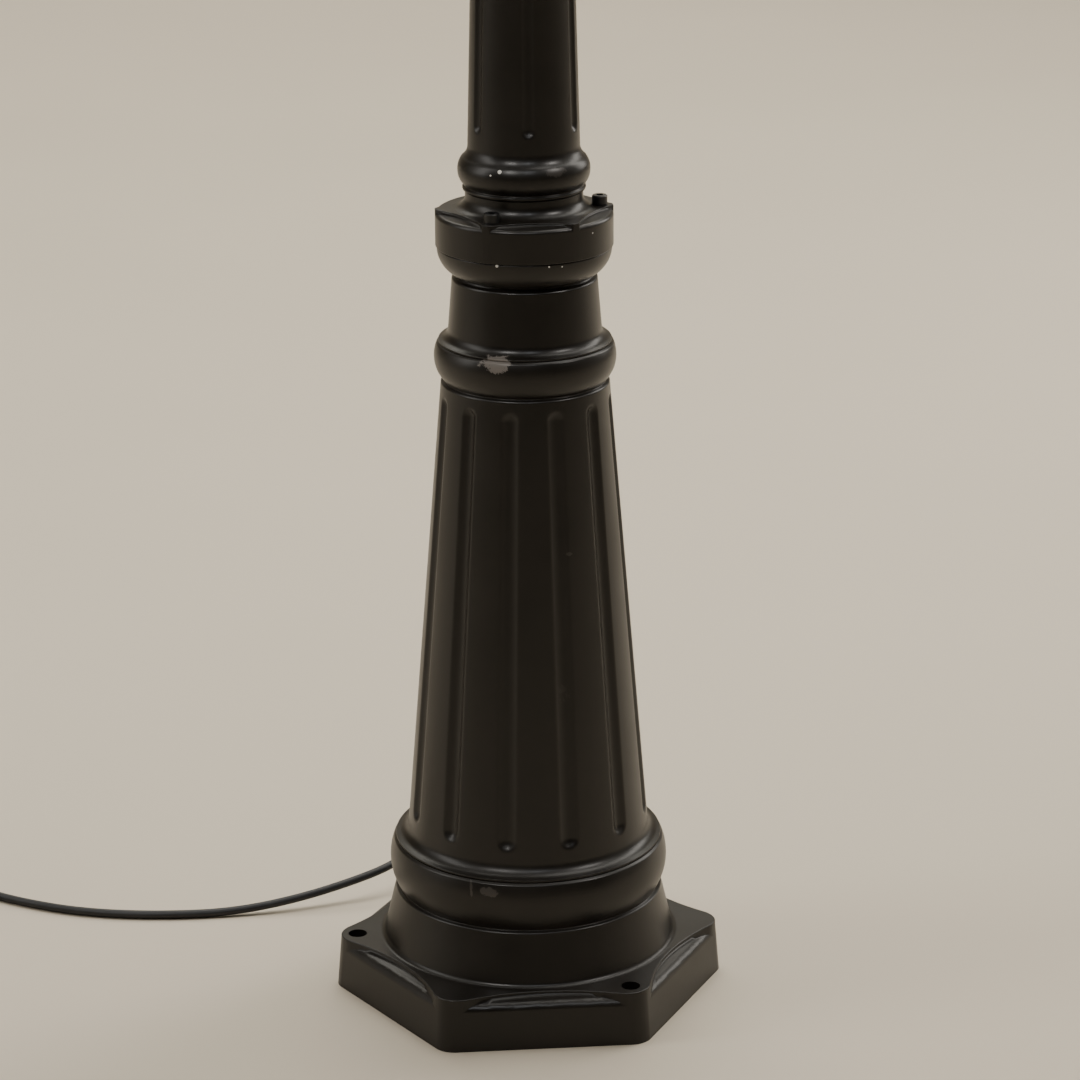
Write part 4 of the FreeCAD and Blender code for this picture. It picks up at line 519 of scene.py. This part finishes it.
postShape = {
    "steps": 360, "flutes": 6, "phase": 30.0, "start": 755.0, "end": 1390.0, "half": (5.3, 3.9), "depth": 2.4,
    "cut": 688.45,
    "lower": [(58.8, 687.2), (58.2, 688.5), (48.4, 698.4, -10.0), (48.3, 703.2), (49.9, 704.0),
              (50.3, 706.6, 2.2), (48.9, 707.8), (50.0, 708.9), (54.3, 720.0, 16.0), (51.2, 730.4, 16.0),
              (45.9, 741.6, -13.0)],
    "cone": (45.9, 741.6, 28.2, 1414.0),
    "upper": [(31.2, 1420.0, -7.0), (34.6, 1420.0), (34.8, 1444.0, 12.6), (23.0, 1444.0), (23.0, 1501.2),
              (22.2, 1502.0)],
    "inside": [(18.0, 1502.0), (18.0, 1444.0), (20.2, 1414.0), (38.0, 741.0), (38.2, 687.2)],
}


def coneRows(shape):
    low, bottom, high, top = shape["cone"][0], shape["cone"][1], shape["cone"][2], shape["cone"][3]
    start, end, (wide, narrow) = shape["start"], shape["end"], shape["half"]
    heights = [start - 3 + 1.5 * i for i in range(int((2.2 * wide + 3) / 1.5))]
    heights += [start + 2.4 * wide + 5 + i * (end - start - 5 * wide) / 16 for i in range(17)]
    heights += [end + 3 - 1.5 * i for i in range(int((2.2 * narrow + 3) / 1.5))]
    inner = [h for h in sorted(heights) if bottom < h < top]
    return [(low + (high - low) * (h - bottom) / (top - bottom), h) for h in inner]


def pressFlutes(work, shape):
    low, bottom, high, top = shape["cone"]
    spread = 2 * math.pi / shape["flutes"]
    phase = math.radians(shape["phase"])
    for vert in work.verts:
        height, out = vert.co.z * 1000, math.hypot(vert.co.x, vert.co.y) * 1000
        if not bottom < height < top or out < low + (high - low) * (height - bottom) / (top - bottom) - 2.0:
            continue
        along = (height - shape["start"]) / (shape["end"] - shape["start"])
        half = shape["half"][0] + (shape["half"][1] - shape["half"][0]) * min(max(along, 0), 1)
        turn = math.atan2(vert.co.y, vert.co.x) - phase
        side = out * ((turn + spread / 2) % spread - spread / 2)
        past = max(shape["start"] + half - height, height - shape["end"] + half, 0.0)
        dip = 1 - (side * side + past * past) / (half * half)
        pressed = shape["depth"] * (dip + math.sqrt(dip * dip + 0.016)) / 2
        if dip > -3.0:
            vert.co.x *= 1 - pressed / out
            vert.co.y *= 1 - pressed / out


def makeCasting(node, name, shape):
    outline = profile(shape["lower"], cut=0.7, coarse=6.0)
    outline += [Vector(p) * 0.001 for p in coneRows(shape)]
    outline += profile([(shape["cone"][2], shape["cone"][3])] + shape["upper"], cut=0.7, coarse=6.0)
    outline += [Vector(p) * 0.001 for p in shape["inside"]]
    work = turnedMesh(outline, shape["steps"], closed=True)
    pressFlutes(work, shape)
    turned = bpy.data.meshes.new("turned")
    work.to_mesh(turned)
    work.free()
    work = bmesh.new()
    work.from_mesh(frame["nodes"][node].data)
    bmesh.ops.remove_doubles(work, verts=work.verts, dist=1e-6)
    everything = work.verts[:] + work.edges[:] + work.faces[:]
    bmesh.ops.bisect_plane(work, geom=everything, dist=1e-7, plane_co=(0, 0, shape["cut"] * 0.001),
                           plane_no=(0, 0, 1), clear_outer=True)
    rims = [e for e in work.edges if e.is_boundary]
    bmesh.ops.triangle_fill(work, edges=rims, use_beauty=True, use_dissolve=False)
    bmesh.ops.dissolve_limit(work, angle_limit=math.radians(0.2), verts=work.verts, edges=work.edges)
    joint = [e for e in work.edges if all(abs(v.co.z - 0.657) < 1e-5 and math.hypot(v.co.x, v.co.y) > 0.0728
                                          for v in e.verts)]
    if joint:
        bmesh.ops.bevel(work, geom=joint, affect="EDGES", offset=0.0008, segments=2, profile=0.5, material=-1)
    bmesh.ops.recalc_face_normals(work, faces=work.faces)
    work.from_mesh(turned)
    bpy.data.meshes.remove(turned)
    item = meshPiece(name, work, crease=38.0)
    evened = item.modifiers.new("evenShading", "WEIGHTED_NORMAL")
    evened.keep_sharp = True
    return finish(item, castCoat, "post", (node,))


pieces = {"pedestal_casting": makeCasting("pedestal_casting", "pedestalCasting", pedestalShape),
          "post_casting": makeCasting("post_casting", "postCasting", postShape)}
print("castings")

# every other piece of the CAD, finished
special = {"power_lead", "stored_coil", "lead_tail", "pedestal_casting", "post_casting"}
for name in sorted(frame["nodes"]):
    if name not in special:
        slot = slotOfNode[name]
        pieces[name] = refined(name, finishes[slot])
print("finished CAD pieces")

# Printed dial: minute bars, hour bars and numerals, a skin on each dial.
dialPrint = {"numeralSize": 0.042, "numeralRadius": 0.146, "barOuter": 0.188, "minuteBar": (0.0022, 0.008),
             "hourBar": (0.0060, 0.016), "skin": 0.00015, "face": 0.04205}


def makeDialPrint(side):
    work = bmesh.new()
    for i in range(60):
        wide, tall = dialPrint["hourBar"] if i % 5 == 0 else dialPrint["minuteBar"]
        turn = Matrix.Rotation(-math.radians(6 * i), 4, "Z")
        place = Matrix.Translation((0, dialPrint["barOuter"] - tall / 2, 0))
        shape = turn @ place @ Matrix.Diagonal((wide, tall, 1, 1))
        bmesh.ops.create_grid(work, x_segments=1, y_segments=1, size=0.5, matrix=shape)
    for hour in range(1, 13):
        text = bpy.data.curves.new("numeral", "FONT")
        text.body, text.size = str(hour), dialPrint["numeralSize"]
        text.align_x, text.align_y = "CENTER", "CENTER"
        holder = bpy.data.objects.new("numeral", text)
        bpy.context.scene.collection.objects.link(holder)
        bpy.context.view_layer.update()
        mesh = bpy.data.meshes.new_from_object(holder.evaluated_get(bpy.context.evaluated_depsgraph_get()))
        turn = math.radians(90 - 30 * hour)
        radius = dialPrint["numeralRadius"]
        mesh.transform(Matrix.Translation((radius * math.cos(turn), radius * math.sin(turn), 0)))
        work.from_mesh(mesh)
        bpy.data.objects.remove(holder)
        bpy.data.meshes.remove(mesh)
    bmesh.ops.remove_doubles(work, verts=work.verts, dist=1e-6)
    bmesh.ops.recalc_face_normals(work, faces=work.faces)
    for face in work.faces:
        if face.normal.z < 0:
            face.normal_flip()
    solid = bmesh.ops.extrude_face_region(work, geom=work.faces[:])["geom"]
    bmesh.ops.translate(work, verts=[g for g in solid if isinstance(g, bmesh.types.BMVert)],
                        vec=(0, 0, dialPrint["skin"]))
    bmesh.ops.recalc_face_normals(work, faces=work.faces)
    bmesh.ops.transform(work, matrix=facing(side, dialPrint["face"]), verts=work.verts)
    item = meshPiece(side + "DialPrint", work, smooth=False)
    finish(item, finishes["hand_black"], bodyOfNode[side + "_dial"])


for side in ("front", "rear"):
    makeDialPrint(side)
print("dial print")
